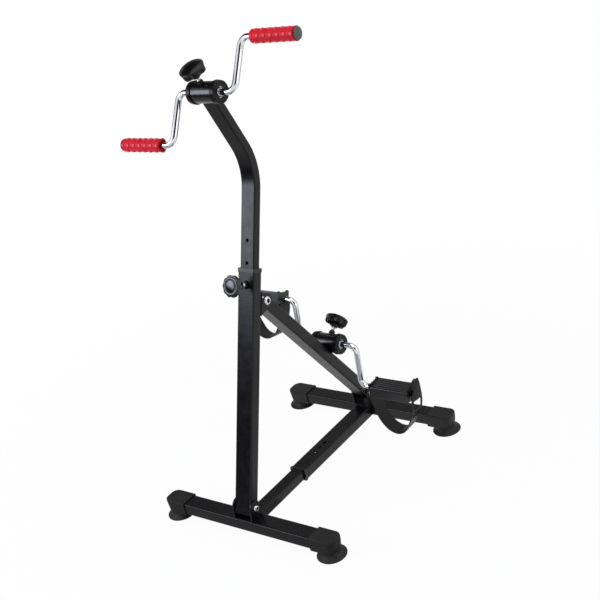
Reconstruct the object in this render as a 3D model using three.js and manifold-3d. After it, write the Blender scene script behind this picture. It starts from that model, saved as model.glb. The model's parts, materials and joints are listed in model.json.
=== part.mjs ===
// Arm and leg pedal exerciser: an A-shaped frame of black rectangular tube, with a pedal
// crank on the sloping tube and a hand crank on top of a telescopic mast.
// Millimetres, +Z up, +Y from the post towards the pedals, +X along the crank axles.
// The origin is on the floor, in the middle of the four foot pads.
import * as THREE from 'three';
import { mergeVertices } from 'three/addons/utils/BufferGeometryUtils.js';
import Module from 'manifold-3d';

const wasm = await Module();
wasm.setup();

// Base
const wheelbase = 479.5;
const pad_spread = 428;
const foot_tube_depth = 39.5;
const foot_tube_height = 27;
const foot_tube_above_floor = 17.5;
const tube_wall = 1.5;
const tube_corner = 3.5;
const seat_gap = 0.3;

// Rubber end caps with bell pads
const cap_wall = 2.5;
const cap_reach = 24;
const cap_sleeve = 37;
const cap_grip = 28;
const cap_end_radius = 17;
const pad_radius = 32.8;
const pad_neck_radius = 22;
const pad_rim = 3;
const pad_height = 15;

// Telescopic base strut
const strut_width = 40;
const strut_height = 27;
const strut_inner_width = 32;
const strut_inner_height = 23;
const strut_mouth = 186;
const strut_lip = 5;
const strut_lip_wall = 1.5;
const strut_sleeve = 24;
const strut_button_place = 251.7;
const strut_hole_pitch = 19.5;
const strut_holes = 3;
const strut_hole_radius = 4.5;
const strut_inner_tail = 26;
const button_radius = 3.7;
const button_height = 7;
const button_spring_thickness = 1;
const button_spring_width = 12;
const button_spring_lift = 2;
const button_spring_length = 34;

// Post and its pivot on the front foot
const post_lean = THREE.MathUtils.degToRad(22.96);
const post_width = 45;
const post_depth = 25;
const post_pivot_offset = 2;
const post_pivot_height = 69.5;
const post_tail = 16;
const post_length = 506;
const post_knob_drop = 26.2;
const hinge_drop = 60.5;
const post_lip = 8.7;
const post_lip_wall = 1;
const post_sleeve = 30;

// Brackets
const plate = 3;
const bracket_base = 3;
const ear_radius = 17;
const rear_pivot_offset = 12;
const rear_pivot_height = 80;
const rear_bracket_back = 12;
const rear_ear_radius = 15.3;
const hinge_reach = 28.6;
const hinge_ear_radius = 17;
const hinge_ear_end = THREE.MathUtils.degToRad(-60);
const hinge_base = 1.5;
const hinge_base_up = 17;
const hinge_base_down = 32;

// Bolts
const bolt_radius = 5;
const bolt_head_radius = 9.5;
const front_head_radius = 7;
const bolt_head_height = 5;
const nut_across = 17;
const nut_height = 8;
const bolt_tail = 3;

// Incline tube
const incline_width = 40;
const incline_depth = 26.5;
const incline_head = 12;
const incline_tail = 18;
const incline_post_gap = 3;

// Mast
const mast_width = 38;
const mast_depth = 20;
const mast_tail = 190;
const mast_bend = THREE.MathUtils.degToRad(45);
const mast_bend_radius = 130;
const mast_bend_steps = 8;
const mast_rise = 252.5;
const mast_arm = 196;
const mast_hole_pitch = 47.5;
const mast_hole_radius = 4;
const mast_hole_drop = 1.5;
const mast_holes_above = 2;
const mast_holes_below = 1;
const mast_plug_wall = 3;

// Crank hubs
const hub_radius = 22;
const hub_wall = 2.5;
const hub_length = 77;
const hub_shift = 1.5;
const hub_cap_radius = 24.2;
const hub_cap_length = 12;
const hub_cap_face = 4;
const hub_cap_bevel = 1.2;
const hub_saddle = 34.3;
const bearing_radius = 11.5;
const bearing_width = 9;
const leg_hub_place = 276.9;

// Chrome cranks
const rod_radius = 6.8;
const rod_bend_radius = 18;
const rod_bend_steps = 4;
const rod_sides = 10;
const arm_throw = 106.5;
const arm_crank_angle = THREE.MathUtils.degToRad(57.8);
const arm_rod_place = 74;
const leg_throw = 97;
const leg_crank_angle = THREE.MathUtils.degToRad(-97);
const leg_rod_place = 79.5;

// Massage grips
const grip_start = 104;
const grip_length = 107;
const grip_radius = 14;
const grip_bump = 2.8;
const grip_rows = 8;
const grip_bumps = 13;
const grip_row_turn = THREE.MathUtils.degToRad(-15);
const plug_radius = 13.2;
const plug_rim = 3;
const plug_dome = 2.5;

// Pedals
const pedal_inner = 113;
const pedal_outer = 217;
const pedal_depth = 40;
const pedal_wall = 4.5;
const pedal_top = 19.5;
const pedal_bottom = 16;
const pedal_ear_radius = 4.5;
const tread_back_height = 16.5;
const tread_front_height = 12;
const tread_bottom = 15;
const pedal_tip_rise = 12;
const pedal_nut_radius = 8;
const pedal_nut_length = 2.5;
const left_pedal_tilt = THREE.MathUtils.degToRad(-22);
const left_strap_tilt = THREE.MathUtils.degToRad(10);
const left_strap_drop = 97;
const strap_width = 37;
const strap_thickness = 2.5;
const strap_corner_share = 0.4;
const strap_inner_end = 9;
const strap_knee = 5;
const strap_drop = 104.5;
const strap_bulge = 11;
const strap_steps = 26;

// Knobs
const knob_radius = 27;
const knob_lobes = 8;
const knob_lobe_depth = 2.5;
const knob_lobe_steps = 4;
const knob_thickness = 15;
const knob_bevel = 4;
const knob_stem_radius = 9;
const knob_stem_length = 8;
const knob_screw_radius = 4;
const tension_knob_place = 59.5;
const lock_nut_across = 13;
const lock_nut_height = 9;
const post_knob_radius = 24;
const post_knob_lobes = 10;
const post_knob_thickness = 14;
const post_knob_reach = 50;
const post_knob_stem = 20;
const post_knob_stem_radius = 11;
const post_boss_radius = 9;
const post_boss_height = 6;
const shoe_size = 12;

// Number of flat sides that stand for round shapes, how domed ends narrow, and a cutter's overrun
const round_sides = 24;
const small_sides = 16;
const corner_steps = 2;
const rim_share = 0.33;
const dome_share = 0.7;
const weld_share = 0.001;
const overrun = 2;

const foot_height = foot_tube_above_floor + foot_tube_height / 2;
const foot_top = foot_tube_above_floor + foot_tube_height;
const strut_level = foot_height - (foot_tube_height - strut_height) / 2 - seat_gap;
const post_knob_place = post_length - post_knob_drop;
const hinge_height = post_length - hinge_drop;
const mast_vertex = post_knob_place + mast_rise;

// Materials
function finish(name, color, roughness, metalness) {
  const material = new THREE.MeshStandardMaterial({ color, roughness, metalness });
  material.name = name;
  return material;
}
const black_steel = finish('black_steel', 0x232326, 0.5, 0.2);
const black_rubber = finish('black_rubber', 0x1d1d1f, 0.8, 0);
const black_plastic = finish('black_plastic', 0x151517, 0.45, 0);
const chrome = finish('chrome', 0xd8dade, 0.1, 1);
const zinc = finish('zinc', 0xb9bcc0, 0.3, 0.9);
const red_plastic = finish('red_plastic', 0xc9141c, 0.4, 0);
const grey_plastic = finish('grey_plastic', 0x55585c, 0.6, 0);
const strap_rubber = finish('strap_rubber', 0x29292c, 0.7, 0);

// Solids: joining and cutting closed shapes
function to_solid(geometry) {
  const bare = geometry.clone();
  bare.deleteAttribute('normal');
  bare.deleteAttribute('uv');
  const welded = mergeVertices(bare, seat_gap * weld_share);
  const vertProperties = new Float32Array(welded.attributes.position.array);
  const triVerts = new Uint32Array(welded.index.array);
  return new wasm.Manifold(new wasm.Mesh({ numProp: 3, vertProperties, triVerts }));
}
function to_geometry(solid) {
  const mesh = solid.getMesh();
  const geometry = new THREE.BufferGeometry();
  geometry.setAttribute('position', new THREE.BufferAttribute(new Float32Array(mesh.vertProperties), 3));
  geometry.setIndex(new THREE.BufferAttribute(new Uint32Array(mesh.triVerts), 1));
  geometry.computeVertexNormals();
  return geometry;
}
function cut(geometry, ...tools) {
  return to_geometry(tools.reduce((solid, tool) => solid.subtract(to_solid(tool)), to_solid(geometry)));
}
function join(geometry, ...others) {
  return to_geometry(others.reduce((solid, other) => solid.add(to_solid(other)), to_solid(geometry)));
}

// Outlines and simple shapes
function rounded_outline(width, depth, corner) {
  const x = width / 2 - corner;
  const y = depth / 2 - corner;
  const outline = new THREE.Shape();
  outline.absarc(x, -y, corner, -Math.PI / 2, 0);
  outline.absarc(x, y, corner, 0, Math.PI / 2);
  outline.absarc(-x, y, corner, Math.PI / 2, Math.PI);
  outline.absarc(-x, -y, corner, Math.PI, 1.5 * Math.PI);
  outline.closePath();
  return outline;
}
function prism(outline, height, sides = corner_steps) {
  return new THREE.ExtrudeGeometry(outline, { depth: height, bevelEnabled: false, curveSegments: sides });
}
function rounded_bar(width, depth, corner, height) {
  return prism(rounded_outline(width, depth, corner), height);
}
function tube_outline(width, depth, wall = tube_wall) {
  const outline = rounded_outline(width, depth, tube_corner);
  outline.holes.push(rounded_outline(width - 2 * wall, depth - 2 * wall, tube_corner - wall));
  return outline;
}
function box(width, depth, height) {
  return new THREE.BoxGeometry(width, depth, height);
}
function rod(radius, length, sides = small_sides) {
  return new THREE.CylinderGeometry(radius, radius, length, sides);
}
function rod_along_x(radius, length, sides) {
  return rod(radius, length, sides).rotateZ(Math.PI / 2);
}
function rod_along_z(radius, length, sides) {
  return rod(radius, length, sides).rotateX(Math.PI / 2);
}
function turned(points, sides = round_sides) {
  return new THREE.LatheGeometry(points.map(([r, z]) => new THREE.Vector2(r, z)), sides).rotateX(Math.PI / 2);
}
function ring_along_x(inner, outer, length, sides = round_sides) {
  const half = length / 2;
  const points = [[inner, -half], [outer, -half], [outer, half], [inner, half], [inner, -half]];
  return turned(points, sides).rotateY(Math.PI / 2);
}

// A centre line of straight runs with a round bend at each corner, walked station by station
class BentLine extends THREE.Curve {
  constructor(corners, bend_radius, bend_steps) {
    super();
    this.stations = [corners[0]];
    for (let i = 1; i < corners.length - 1; i += 1) {
      this.addBend(corners[i - 1], corners[i], corners[i + 1], bend_radius, bend_steps);
    }
    this.stations.push(corners[corners.length - 1]);
  }
  addBend(before, corner, after, radius, steps) {
    const inward = before.clone().sub(corner).normalize();
    const outward = after.clone().sub(corner).normalize();
    const half_turn = (Math.PI - inward.angleTo(outward)) / 2;
    const middle = inward.clone().add(outward).normalize();
    const centre = corner.clone().addScaledVector(middle, radius / Math.cos(half_turn));
    const across = outward.clone().sub(inward).normalize();
    for (let i = 0; i <= steps; i += 1) {
      const turn = half_turn * (2 * i / steps - 1);
      const station = centre.clone();
      station.addScaledVector(middle, -radius * Math.cos(turn));
      station.addScaledVector(across, radius * Math.sin(turn));
      this.stations.push(station);
    }
  }
  get steps() {
    return this.stations.length - 1;
  }
  getPoint(t, target = new THREE.Vector3()) {
    const place = Math.min(Math.max(t, 0), 1) * this.steps;
    const first = Math.min(Math.floor(place), this.steps - 1);
    return target.copy(this.stations[first]).lerp(this.stations[first + 1], place - first);
  }
  getUtoTmapping(u) {
    return u;
  }
}
function swept(outline, line, sides) {
  const settings = { steps: line.steps, extrudePath: line, bevelEnabled: false, curveSegments: sides };
  return new THREE.ExtrudeGeometry(outline, settings);
}
function disc_outline(radius) {
  return new THREE.Shape().absarc(0, 0, radius, 0, 2 * Math.PI);
}

const machine = new THREE.Group();
function add(group, name, geometry, material) {
  const mesh = new THREE.Mesh(geometry, material);
  mesh.name = name;
  group.add(mesh);
  return mesh;
}
function frame_group(parent, y, z, lean = 0) {
  const group = new THREE.Group();
  group.position.set(0, y, z);
  group.rotation.x = lean;
  parent.add(group);
  return group;
}

// Cross feet: a rectangular tube with a rubber cap on each end
function foot_tube() {
  const length = pad_spread - 2 * (cap_sleeve - cap_grip);
  return prism(tube_outline(foot_tube_height, foot_tube_depth), length)
    .translate(0, 0, -length / 2).rotateY(Math.PI / 2);
}
function cap_outline() {
  const inner = -cap_sleeve;
  const half = foot_tube_depth / 2 + cap_wall;
  const outline = new THREE.Shape();
  outline.moveTo(inner, half);
  outline.lineTo(inner, -half);
  outline.absarc(cap_reach - cap_end_radius, -half + cap_end_radius, cap_end_radius, -Math.PI / 2, 0);
  outline.absarc(cap_reach - cap_end_radius, half - cap_end_radius, cap_end_radius, 0, Math.PI / 2);
  outline.closePath();
  return outline;
}
function foot_cap() {
  const height = foot_tube_height + 2 * cap_wall;
  const sleeve = prism(cap_outline(), height, 2 * corner_steps)
    .translate(0, 0, foot_tube_above_floor - cap_wall);
  const leg = rounded_bar(2 * cap_reach, foot_tube_depth + 2 * cap_wall, cap_end_radius, pad_height)
    .translate(0, 0, pad_rim);
  const bell = turned([
    [0, 0],
    [pad_radius, 0],
    [pad_radius, pad_rim],
    [pad_radius - pad_rim, 2 * pad_rim],
    [pad_neck_radius, pad_height],
    [0, pad_height],
  ]);
  const pocket_length = cap_grip + 2 * seat_gap + overrun;
  const pocket = box(pocket_length, foot_tube_depth + 2 * seat_gap, foot_tube_height + 2 * seat_gap)
    .translate(-cap_sleeve - overrun + pocket_length / 2, 0, foot_height);
  return cut(join(sleeve, leg, bell), pocket);
}
function add_foot(y, place) {
  const group = frame_group(machine, y, 0);
  add(group, `${place}_foot_tube`, foot_tube().translate(0, 0, foot_height), black_steel);
  const cap_right = foot_cap().translate(pad_spread / 2, 0, 0);
  const cap_left = foot_cap().rotateZ(Math.PI).translate(-pad_spread / 2, 0, 0);
  add(group, `${place}_foot_cap_right`, cap_right, black_rubber);
  add(group, `${place}_foot_cap_left`, cap_left, black_rubber);
}

// Bolts along X: a domed head on the right, a shank, and a hexagon nut on the left
function bolt(grip_width, head_radius) {
  const shank_length = grip_width + nut_height + bolt_tail + 2 * seat_gap;
  const shank = rod_along_x(bolt_radius, shank_length)
    .translate(grip_width / 2 + seat_gap - shank_length / 2, 0, 0);
  const head = turned([
    [0, 0],
    [head_radius, 0],
    [head_radius, bolt_head_height * rim_share],
    [head_radius * dome_share, bolt_head_height],
    [0, bolt_head_height],
  ]).rotateY(Math.PI / 2).translate(grip_width / 2 + seat_gap, 0, 0);
  return join(shank, head);
}
function hex_nut(across, height, bore) {
  const nut = rod_along_z(across / Math.sqrt(3), height, 6);
  return cut(nut, rod_along_z(bore, height + overrun));
}
function bolt_nut(grip_width) {
  return hex_nut(nut_across, nut_height, bolt_radius + seat_gap).rotateY(Math.PI / 2)
    .translate(-grip_width / 2 - seat_gap - nut_height / 2, 0, 0);
}
function cross_hole(width) {
  return rod_along_x(bolt_radius + seat_gap, width + 2 * overrun);
}
function add_bolt(group, name, grip_width, y, z, head_radius = bolt_head_radius) {
  add(group, `${name}_bolt`, bolt(grip_width, head_radius), zinc).position.set(0, y, z);
  add(group, `${name}_nut`, bolt_nut(grip_width), zinc).position.set(0, y, z);
}

// Two ears of an outline in the YZ plane, one on each side of what they hold
function ear_pair(outline, inner_width) {
  const ear = prism(outline, plate, 2 * corner_steps).rotateY(Math.PI / 2).rotateX(Math.PI / 2);
  return [ear.clone().translate(inner_width / 2, 0, 0), ear.translate(-inner_width / 2 - plate, 0, 0)];
}
const post_seat = post_width + 2 * seat_gap;
const incline_seat = incline_width + 2 * seat_gap;
const front_grip = post_seat + 2 * plate;
const incline_grip = incline_seat + 2 * plate;

// Front bracket: a folded plate on the front foot, with two round ears for the post
function front_bracket() {
  const base_z = foot_top + seat_gap;
  const outline = new THREE.Shape();
  outline.moveTo(-foot_tube_depth / 2, base_z);
  outline.lineTo(foot_tube_depth / 2, base_z);
  outline.absarc(post_pivot_offset, post_pivot_height, ear_radius, 0, Math.PI);
  outline.closePath();
  const base = box(front_grip, foot_tube_depth, bracket_base)
    .translate(0, 0, base_z + bracket_base / 2);
  const folded = join(base, ...ear_pair(outline, post_seat));
  return cut(folded, cross_hole(front_grip).translate(0, post_pivot_offset, post_pivot_height));
}

// Rear bracket: a folded plate on the rear foot, with two ears for the incline's lower end
function rear_bracket() {
  const base_z = foot_top + seat_gap;
  const front = -rear_pivot_offset - rear_ear_radius;
  const back = rear_bracket_back;
  const outline = new THREE.Shape();
  outline.moveTo(front, base_z);
  outline.lineTo(back, base_z);
  outline.absarc(-rear_pivot_offset, rear_pivot_height, rear_ear_radius, 0, Math.PI);
  outline.closePath();
  const base = box(incline_grip, back - front, bracket_base)
    .translate(0, (front + back) / 2, base_z + bracket_base / 2);
  const folded = join(base, ...ear_pair(outline, incline_seat));
  return cut(folded, cross_hole(incline_grip).translate(0, -rear_pivot_offset, rear_pivot_height));
}

// Base strut: inner tube on the front foot, outer tube on the rear foot
const strut_start = foot_tube_depth / 2 + seat_gap;
function strut_tube(width, height, from, to, wall) {
  return prism(tube_outline(width, height, wall), to - from).rotateX(-Math.PI / 2)
    .translate(0, from, strut_level);
}
function strut_inner() {
  const end = strut_button_place + strut_inner_tail;
  const tube = strut_tube(strut_inner_width, strut_inner_height, strut_start, end);
  const hole = rod_along_z(button_radius + seat_gap, strut_inner_height)
    .translate(0, strut_button_place, strut_level + strut_inner_height / 2);
  return cut(tube, hole);
}
function strut_outer() {
  const tube = strut_tube(strut_width, strut_height, strut_mouth, wheelbase - strut_start);
  const holes = Array.from({ length: strut_holes }, (_, i) => rod_along_z(strut_hole_radius, strut_height)
    .translate(0, strut_button_place + i * strut_hole_pitch, strut_level + strut_height / 2));
  return cut(tube, ...holes);
}
function strut_collar() {
  const lip_outline = rounded_outline(strut_width + 2 * strut_lip_wall, strut_height + 2 * strut_lip_wall,
    tube_corner);
  const lip = prism(lip_outline, strut_lip);
  const sleeve_width = strut_width - 2 * tube_wall - 2 * seat_gap;
  const sleeve_height = strut_height - 2 * tube_wall - 2 * seat_gap;
  const sleeve = rounded_bar(sleeve_width, sleeve_height, tube_corner - tube_wall, strut_sleeve);
  const bore = box(strut_inner_width + 2 * seat_gap, strut_inner_height + 2 * seat_gap, 2 * strut_sleeve);
  return cut(join(lip, sleeve), bore).rotateX(-Math.PI / 2)
    .translate(0, strut_mouth - strut_lip - seat_gap, strut_level);
}
const button_top = strut_level + strut_height / 2 - tube_wall - seat_gap;
function strut_button() {
  return turned([
    [0, 0],
    [button_radius, 0],
    [button_radius, button_height * dome_share],
    [button_radius * dome_share, button_height],
    [0, button_height],
  ], small_sides).translate(0, strut_button_place, button_top - button_height);
}
function button_spring() {
  const level = button_top - button_height + button_spring_lift;
  const leaf = box(button_spring_width, button_spring_length, button_spring_thickness)
    .translate(0, strut_button_place, level);
  const eye = rod_along_z(button_radius + seat_gap, button_height).translate(0, strut_button_place, level);
  const tail_height = level - strut_level + strut_inner_height / 2 - tube_wall - seat_gap;
  const tail = box(button_spring_width, button_spring_thickness, tail_height)
    .translate(0, strut_button_place + (button_spring_length - button_spring_thickness) / 2,
      level - tail_height / 2);
  return cut(join(leaf, tail), eye);
}

// Post: upright outer tube with the mast's clamp knob, and the hinge for the incline
function post_tube() {
  const tube = prism(tube_outline(post_width, post_depth), post_length + post_tail)
    .translate(0, 0, -post_tail);
  const knob_hole = rod(knob_screw_radius + seat_gap, post_depth)
    .translate(0, -post_depth / 2, post_knob_place);
  return cut(tube, cross_hole(post_width), knob_hole);
}
function post_collar() {
  const lip = rounded_bar(post_width + 2 * post_lip_wall, post_depth + 2 * post_lip_wall, tube_corner, post_lip)
    .translate(0, 0, post_length + seat_gap);
  const sleeve_width = post_width - 2 * tube_wall - 2 * seat_gap;
  const sleeve_depth = post_depth - 2 * tube_wall - 2 * seat_gap;
  const sleeve_length = post_sleeve + post_lip;
  const sleeve = rounded_bar(sleeve_width, sleeve_depth, tube_corner - tube_wall, sleeve_length)
    .translate(0, 0, post_length + seat_gap + post_lip - sleeve_length);
  const bore = box(mast_width + 2 * seat_gap, mast_depth + 2 * seat_gap, 2 * sleeve_length)
    .translate(0, 0, post_length);
  return cut(join(lip, sleeve), bore);
}
function hinge_bracket() {
  const face = post_depth / 2 + seat_gap;
  const outline = new THREE.Shape();
  outline.moveTo(face, hinge_height + hinge_base_up);
  outline.lineTo(face, hinge_height - hinge_base_down);
  outline.absarc(hinge_reach, hinge_height, hinge_ear_radius, hinge_ear_end, Math.PI / 2);
  outline.closePath();
  const base_height = hinge_base_up + hinge_base_down;
  const base = box(incline_grip, hinge_base, base_height)
    .translate(0, face + hinge_base / 2, hinge_height + (hinge_base_up - hinge_base_down) / 2);
  const folded = join(base, ...ear_pair(outline, incline_seat));
  return cut(folded, cross_hole(incline_grip).translate(0, hinge_reach, hinge_height));
}
function post_boss() {
  const boss = rod(post_boss_radius, post_boss_height, 6);
  return cut(boss, rod(knob_screw_radius + seat_gap, post_boss_height + overrun))
    .translate(0, -post_depth / 2 - seat_gap - post_boss_height / 2, post_knob_place);
}

// Lobed knobs, drawn with the screw along +Z and the head's outer face at z = 0
function knob(radius, lobes, thickness, stem_radius, stem_length) {
  const steps = knob_lobe_steps * lobes;
  const points = Array.from({ length: steps }, (_, i) => {
    const turn = 2 * Math.PI * i / steps;
    const reach = radius - knob_bevel - knob_lobe_depth * (1 - Math.cos(lobes * turn)) / 2;
    return new THREE.Vector2(reach * Math.cos(turn), reach * Math.sin(turn));
  });
  const settings = {
    depth: thickness - 2 * knob_bevel,
    bevelEnabled: true,
    bevelThickness: knob_bevel,
    bevelSize: knob_bevel,
    bevelSegments: 2,
  };
  const head = new THREE.ExtrudeGeometry(new THREE.Shape(points), settings)
    .translate(0, 0, knob_bevel - thickness);
  const stem = turned([
    [0, -thickness - stem_length],
    [stem_radius * dome_share, -thickness - stem_length],
    [stem_radius, -thickness],
    [stem_radius, -thickness / 2],
    [0, -thickness / 2],
  ], small_sides);
  return join(head, stem);
}
function post_knob() {
  return knob(post_knob_radius, post_knob_lobes, post_knob_thickness, post_knob_stem_radius, post_knob_stem);
}
function tension_knob() {
  return knob(knob_radius, knob_lobes, knob_thickness, knob_stem_radius, knob_stem_length);
}

// Mast: bent tube with height holes, and a plug in its lower end
function mast_tube() {
  const start = new THREE.Vector3(0, 0, post_knob_place - mast_tail);
  const vertex = new THREE.Vector3(0, 0, mast_vertex);
  const tip = new THREE.Vector3(0, -mast_arm * Math.sin(mast_bend), mast_vertex + mast_arm * Math.cos(mast_bend));
  const line = new BentLine([start, vertex, tip], mast_bend_radius, mast_bend_steps);
  const tube = swept(tube_outline(mast_width, mast_depth), line, corner_steps);
  const count = mast_holes_above + mast_holes_below + 1;
  const holes = Array.from({ length: count }, (_, i) => rod(mast_hole_radius, mast_depth)
    .translate(0, -mast_depth / 2, post_knob_place - mast_hole_drop + (i - mast_holes_below) * mast_hole_pitch));
  const saddle = rod_along_x(hub_radius + seat_gap, mast_width + 2 * overrun, round_sides)
    .translate(0, tip.y, tip.z);
  return cut(tube, saddle, ...holes);
}
function mast_plug() {
  const width = mast_width - 2 * tube_wall - 2 * seat_gap;
  const depth = mast_depth - 2 * tube_wall - 2 * seat_gap;
  return rounded_bar(width, depth, tube_corner - tube_wall, mast_plug_wall)
    .translate(0, 0, post_knob_place - mast_tail + seat_gap);
}

// Crank hubs: shell, two end caps, two bearings, and a brake shoe under the tension screw
function hub_shell() {
  const length = hub_length - 2 * hub_cap_face - 2 * seat_gap;
  const shell = ring_along_x(hub_radius - hub_wall, hub_radius, length);
  const hole = rod_along_z(knob_screw_radius + seat_gap, hub_radius).translate(-hub_shift, 0, hub_radius);
  return cut(shell, hole);
}
function hub_cap() {
  const bore = bearing_radius + seat_gap;
  const inner = hub_length / 2 - hub_cap_length;
  const groove = hub_length / 2 - hub_cap_face;
  return turned([
    [bore, inner],
    [hub_radius - hub_wall - seat_gap, inner],
    [hub_radius - hub_wall - seat_gap, groove],
    [hub_radius + seat_gap, groove],
    [hub_radius + seat_gap, inner],
    [hub_cap_radius, inner],
    [hub_cap_radius, hub_length / 2 - hub_cap_bevel],
    [hub_cap_radius - hub_cap_bevel, hub_length / 2],
    [bore, hub_length / 2],
    [bore, inner],
  ]).rotateY(Math.PI / 2);
}
function hub_bearing() {
  const centre = hub_length / 2 - hub_cap_length + bearing_width / 2 + seat_gap;
  return ring_along_x(rod_radius + seat_gap, bearing_radius, bearing_width, small_sides).translate(centre, 0, 0);
}
function brake_shoe() {
  const low = rod_radius + seat_gap;
  const high = Math.sqrt((hub_radius - hub_wall - seat_gap) ** 2 - shoe_size ** 2 / 4) - seat_gap;
  return box(shoe_size, shoe_size, high - low).translate(0, 0, (high + low) / 2);
}
function add_hub(group, name) {
  const add_shifted = (piece, geometry, material) => {
    add(group, `${name}_${piece}`, geometry.translate(hub_shift, 0, 0), material);
  };
  add_shifted('hub_shell', hub_shell(), black_steel);
  add_shifted('hub_cap_right', hub_cap(), black_plastic);
  add_shifted('hub_cap_left', hub_cap().rotateZ(Math.PI), black_plastic);
  add_shifted('bearing_right', hub_bearing(), zinc);
  add_shifted('bearing_left', hub_bearing().rotateZ(Math.PI), zinc);
  add(group, `${name}_brake_shoe`, brake_shoe(), black_plastic);
  const nut_z = hub_radius + seat_gap + lock_nut_height / 2;
  const nut = hex_nut(lock_nut_across, lock_nut_height, knob_screw_radius + seat_gap);
  add(group, `${name}_lock_nut`, nut.translate(0, 0, nut_z), black_steel);
  const head_z = tension_knob_place + knob_thickness / 2;
  add(group, `${name}_tension_knob`, tension_knob().translate(0, 0, head_z), black_plastic);
  const screw_low = hub_radius - hub_wall + 2 * seat_gap;
  const screw_high = head_z - knob_thickness - knob_stem_length - seat_gap;
  const screw = rod_along_z(knob_screw_radius, screw_high - screw_low, small_sides)
    .translate(0, 0, (screw_high + screw_low) / 2);
  add(group, `${name}_tension_screw`, screw, zinc);
}

// Cranks: one chrome rod, bent up on one side and down on the other
function crank(throw_radius, angle, rod_place, reach) {
  const corners = [
    [-reach, -throw_radius],
    [-rod_place, -throw_radius],
    [-rod_place, 0],
    [rod_place, 0],
    [rod_place, throw_radius],
    [reach, throw_radius],
  ].map(([x, r]) => new THREE.Vector3(x, r * Math.cos(angle), r * Math.sin(angle)));
  return swept(disc_outline(rod_radius), new BentLine(corners, rod_bend_radius, rod_bend_steps), rod_sides);
}

// Red massage grip: a sleeve with staggered round bumps, drawn along +X from x = 0
function massage_grip() {
  const around = 2 * grip_rows;
  const along = 2 * grip_bumps;
  const bore = rod_radius + seat_gap;
  const rings = [];
  const ring = (x, radius_of) => Array.from({ length: around }, (_, j) => {
    const turn = grip_row_turn + 2 * Math.PI * j / around;
    return new THREE.Vector3(x, radius_of(j) * Math.cos(turn), radius_of(j) * Math.sin(turn));
  });
  rings.push(ring(0, () => bore));
  rings.push(ring(0, () => grip_radius));
  for (let i = 1; i < along; i += 1) {
    const x = grip_length * i / along;
    const has_bump = (j) => i % 2 === 1 && j % 2 === 0 && (j + i - 1) % 4 === 0;
    rings.push(ring(x, (j) => grip_radius + (has_bump(j) ? grip_bump : 0)));
  }
  rings.push(ring(grip_length, () => grip_radius));
  rings.push(ring(grip_length, () => bore));
  const positions = rings.flat().flatMap((p) => [p.x, p.y, p.z]);
  const index = [];
  rings.forEach((_, i) => {
    const next = (i + 1) % rings.length;
    for (let j = 0; j < around; j += 1) {
      const k = (j + 1) % around;
      index.push(i * around + j, i * around + k, next * around + k);
      index.push(i * around + j, next * around + k, next * around + j);
    }
  });
  const geometry = new THREE.BufferGeometry();
  geometry.setAttribute('position', new THREE.BufferAttribute(new Float32Array(positions), 3));
  geometry.setIndex(index);
  geometry.computeVertexNormals();
  return geometry;
}
function grip_plug() {
  return turned([
    [0, 0],
    [plug_radius, 0],
    [plug_radius, plug_rim],
    [plug_radius * dome_share, plug_rim + plug_dome * dome_share],
    [0, plug_rim + plug_dome],
  ], small_sides).rotateY(Math.PI / 2);
}
function add_arm_crank(group) {
  const rod_end = grip_start + grip_length + seat_gap;
  add(group, 'arm_crank', crank(arm_throw, arm_crank_angle, arm_rod_place, rod_end), chrome);
  const y = arm_throw * Math.cos(arm_crank_angle);
  const z = arm_throw * Math.sin(arm_crank_angle);
  const plug_x = rod_end + seat_gap;
  add(group, 'arm_grip_right', massage_grip().translate(grip_start, y, z), red_plastic);
  add(group, 'arm_grip_plug_right', grip_plug().translate(plug_x, y, z), grey_plastic);
  add(group, 'arm_grip_left', massage_grip().rotateZ(Math.PI).translate(-grip_start, -y, -z), red_plastic);
  add(group, 'arm_grip_plug_left', grip_plug().rotateZ(Math.PI).translate(-plug_x, -y, -z), grey_plastic);
}

// Pedals hang with their strap down; drawn for the right side, with the spindle along X.
// The end plate's outline is given in shares of half the depth and of the height above the spindle.
const end_plate_shares = [
  [-0.6, -0.75],
  [0, -0.65],
  [0.5, -0.8],
  [0.95, -0.6],
  [1.1, 0],
  [1.05, 0.75],
  [0.9, 1.3],
];
const end_plate_front_shares = [
  [-0.1, 1.25],
  [-0.75, 1.05],
  [-1.05, 0.3],
  [-1, -0.35],
];
function across_x(outline, length) {
  return prism(outline, length).rotateY(Math.PI / 2).rotateX(Math.PI / 2);
}
function end_plate_outline() {
  const corner = ([out, up]) => new THREE.Vector2(out * pedal_depth / 2, up * pedal_top);
  const tip = new THREE.Vector2(pedal_depth / 2 - pedal_ear_radius, pedal_top + pedal_tip_rise);
  return new THREE.Shape([...end_plate_shares.map(corner), tip, ...end_plate_front_shares.map(corner)]);
}
function pedal_body() {
  const half = pedal_depth / 2;
  const wall_height = pedal_top + pedal_bottom - pedal_ear_radius;
  const inner_wall = box(pedal_wall, pedal_depth, wall_height)
    .translate(pedal_inner + pedal_wall / 2, 0, wall_height / 2 - pedal_bottom);
  const ears = [-1, 1].map((side) => rod_along_x(pedal_ear_radius, pedal_wall)
    .translate(pedal_inner + pedal_wall / 2, side * (half - pedal_ear_radius), pedal_top - pedal_ear_radius));
  const tread_outline = new THREE.Shape([
    new THREE.Vector2(-half, -tread_bottom),
    new THREE.Vector2(half, -tread_bottom),
    new THREE.Vector2(half, tread_back_height),
    new THREE.Vector2(-half, tread_front_height),
  ]);
  const tread = across_x(tread_outline, pedal_outer - pedal_inner - pedal_wall)
    .translate(pedal_inner + pedal_wall / 2, 0, 0);
  const end_plate = across_x(end_plate_outline(), pedal_wall).translate(pedal_outer - pedal_wall, 0, 0);
  const bore = rod_along_x(rod_radius + seat_gap, 2 * pedal_outer).translate(pedal_outer, 0, 0);
  return cut(join(inner_wall, tread, end_plate, ...ears), bore);
}
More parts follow.
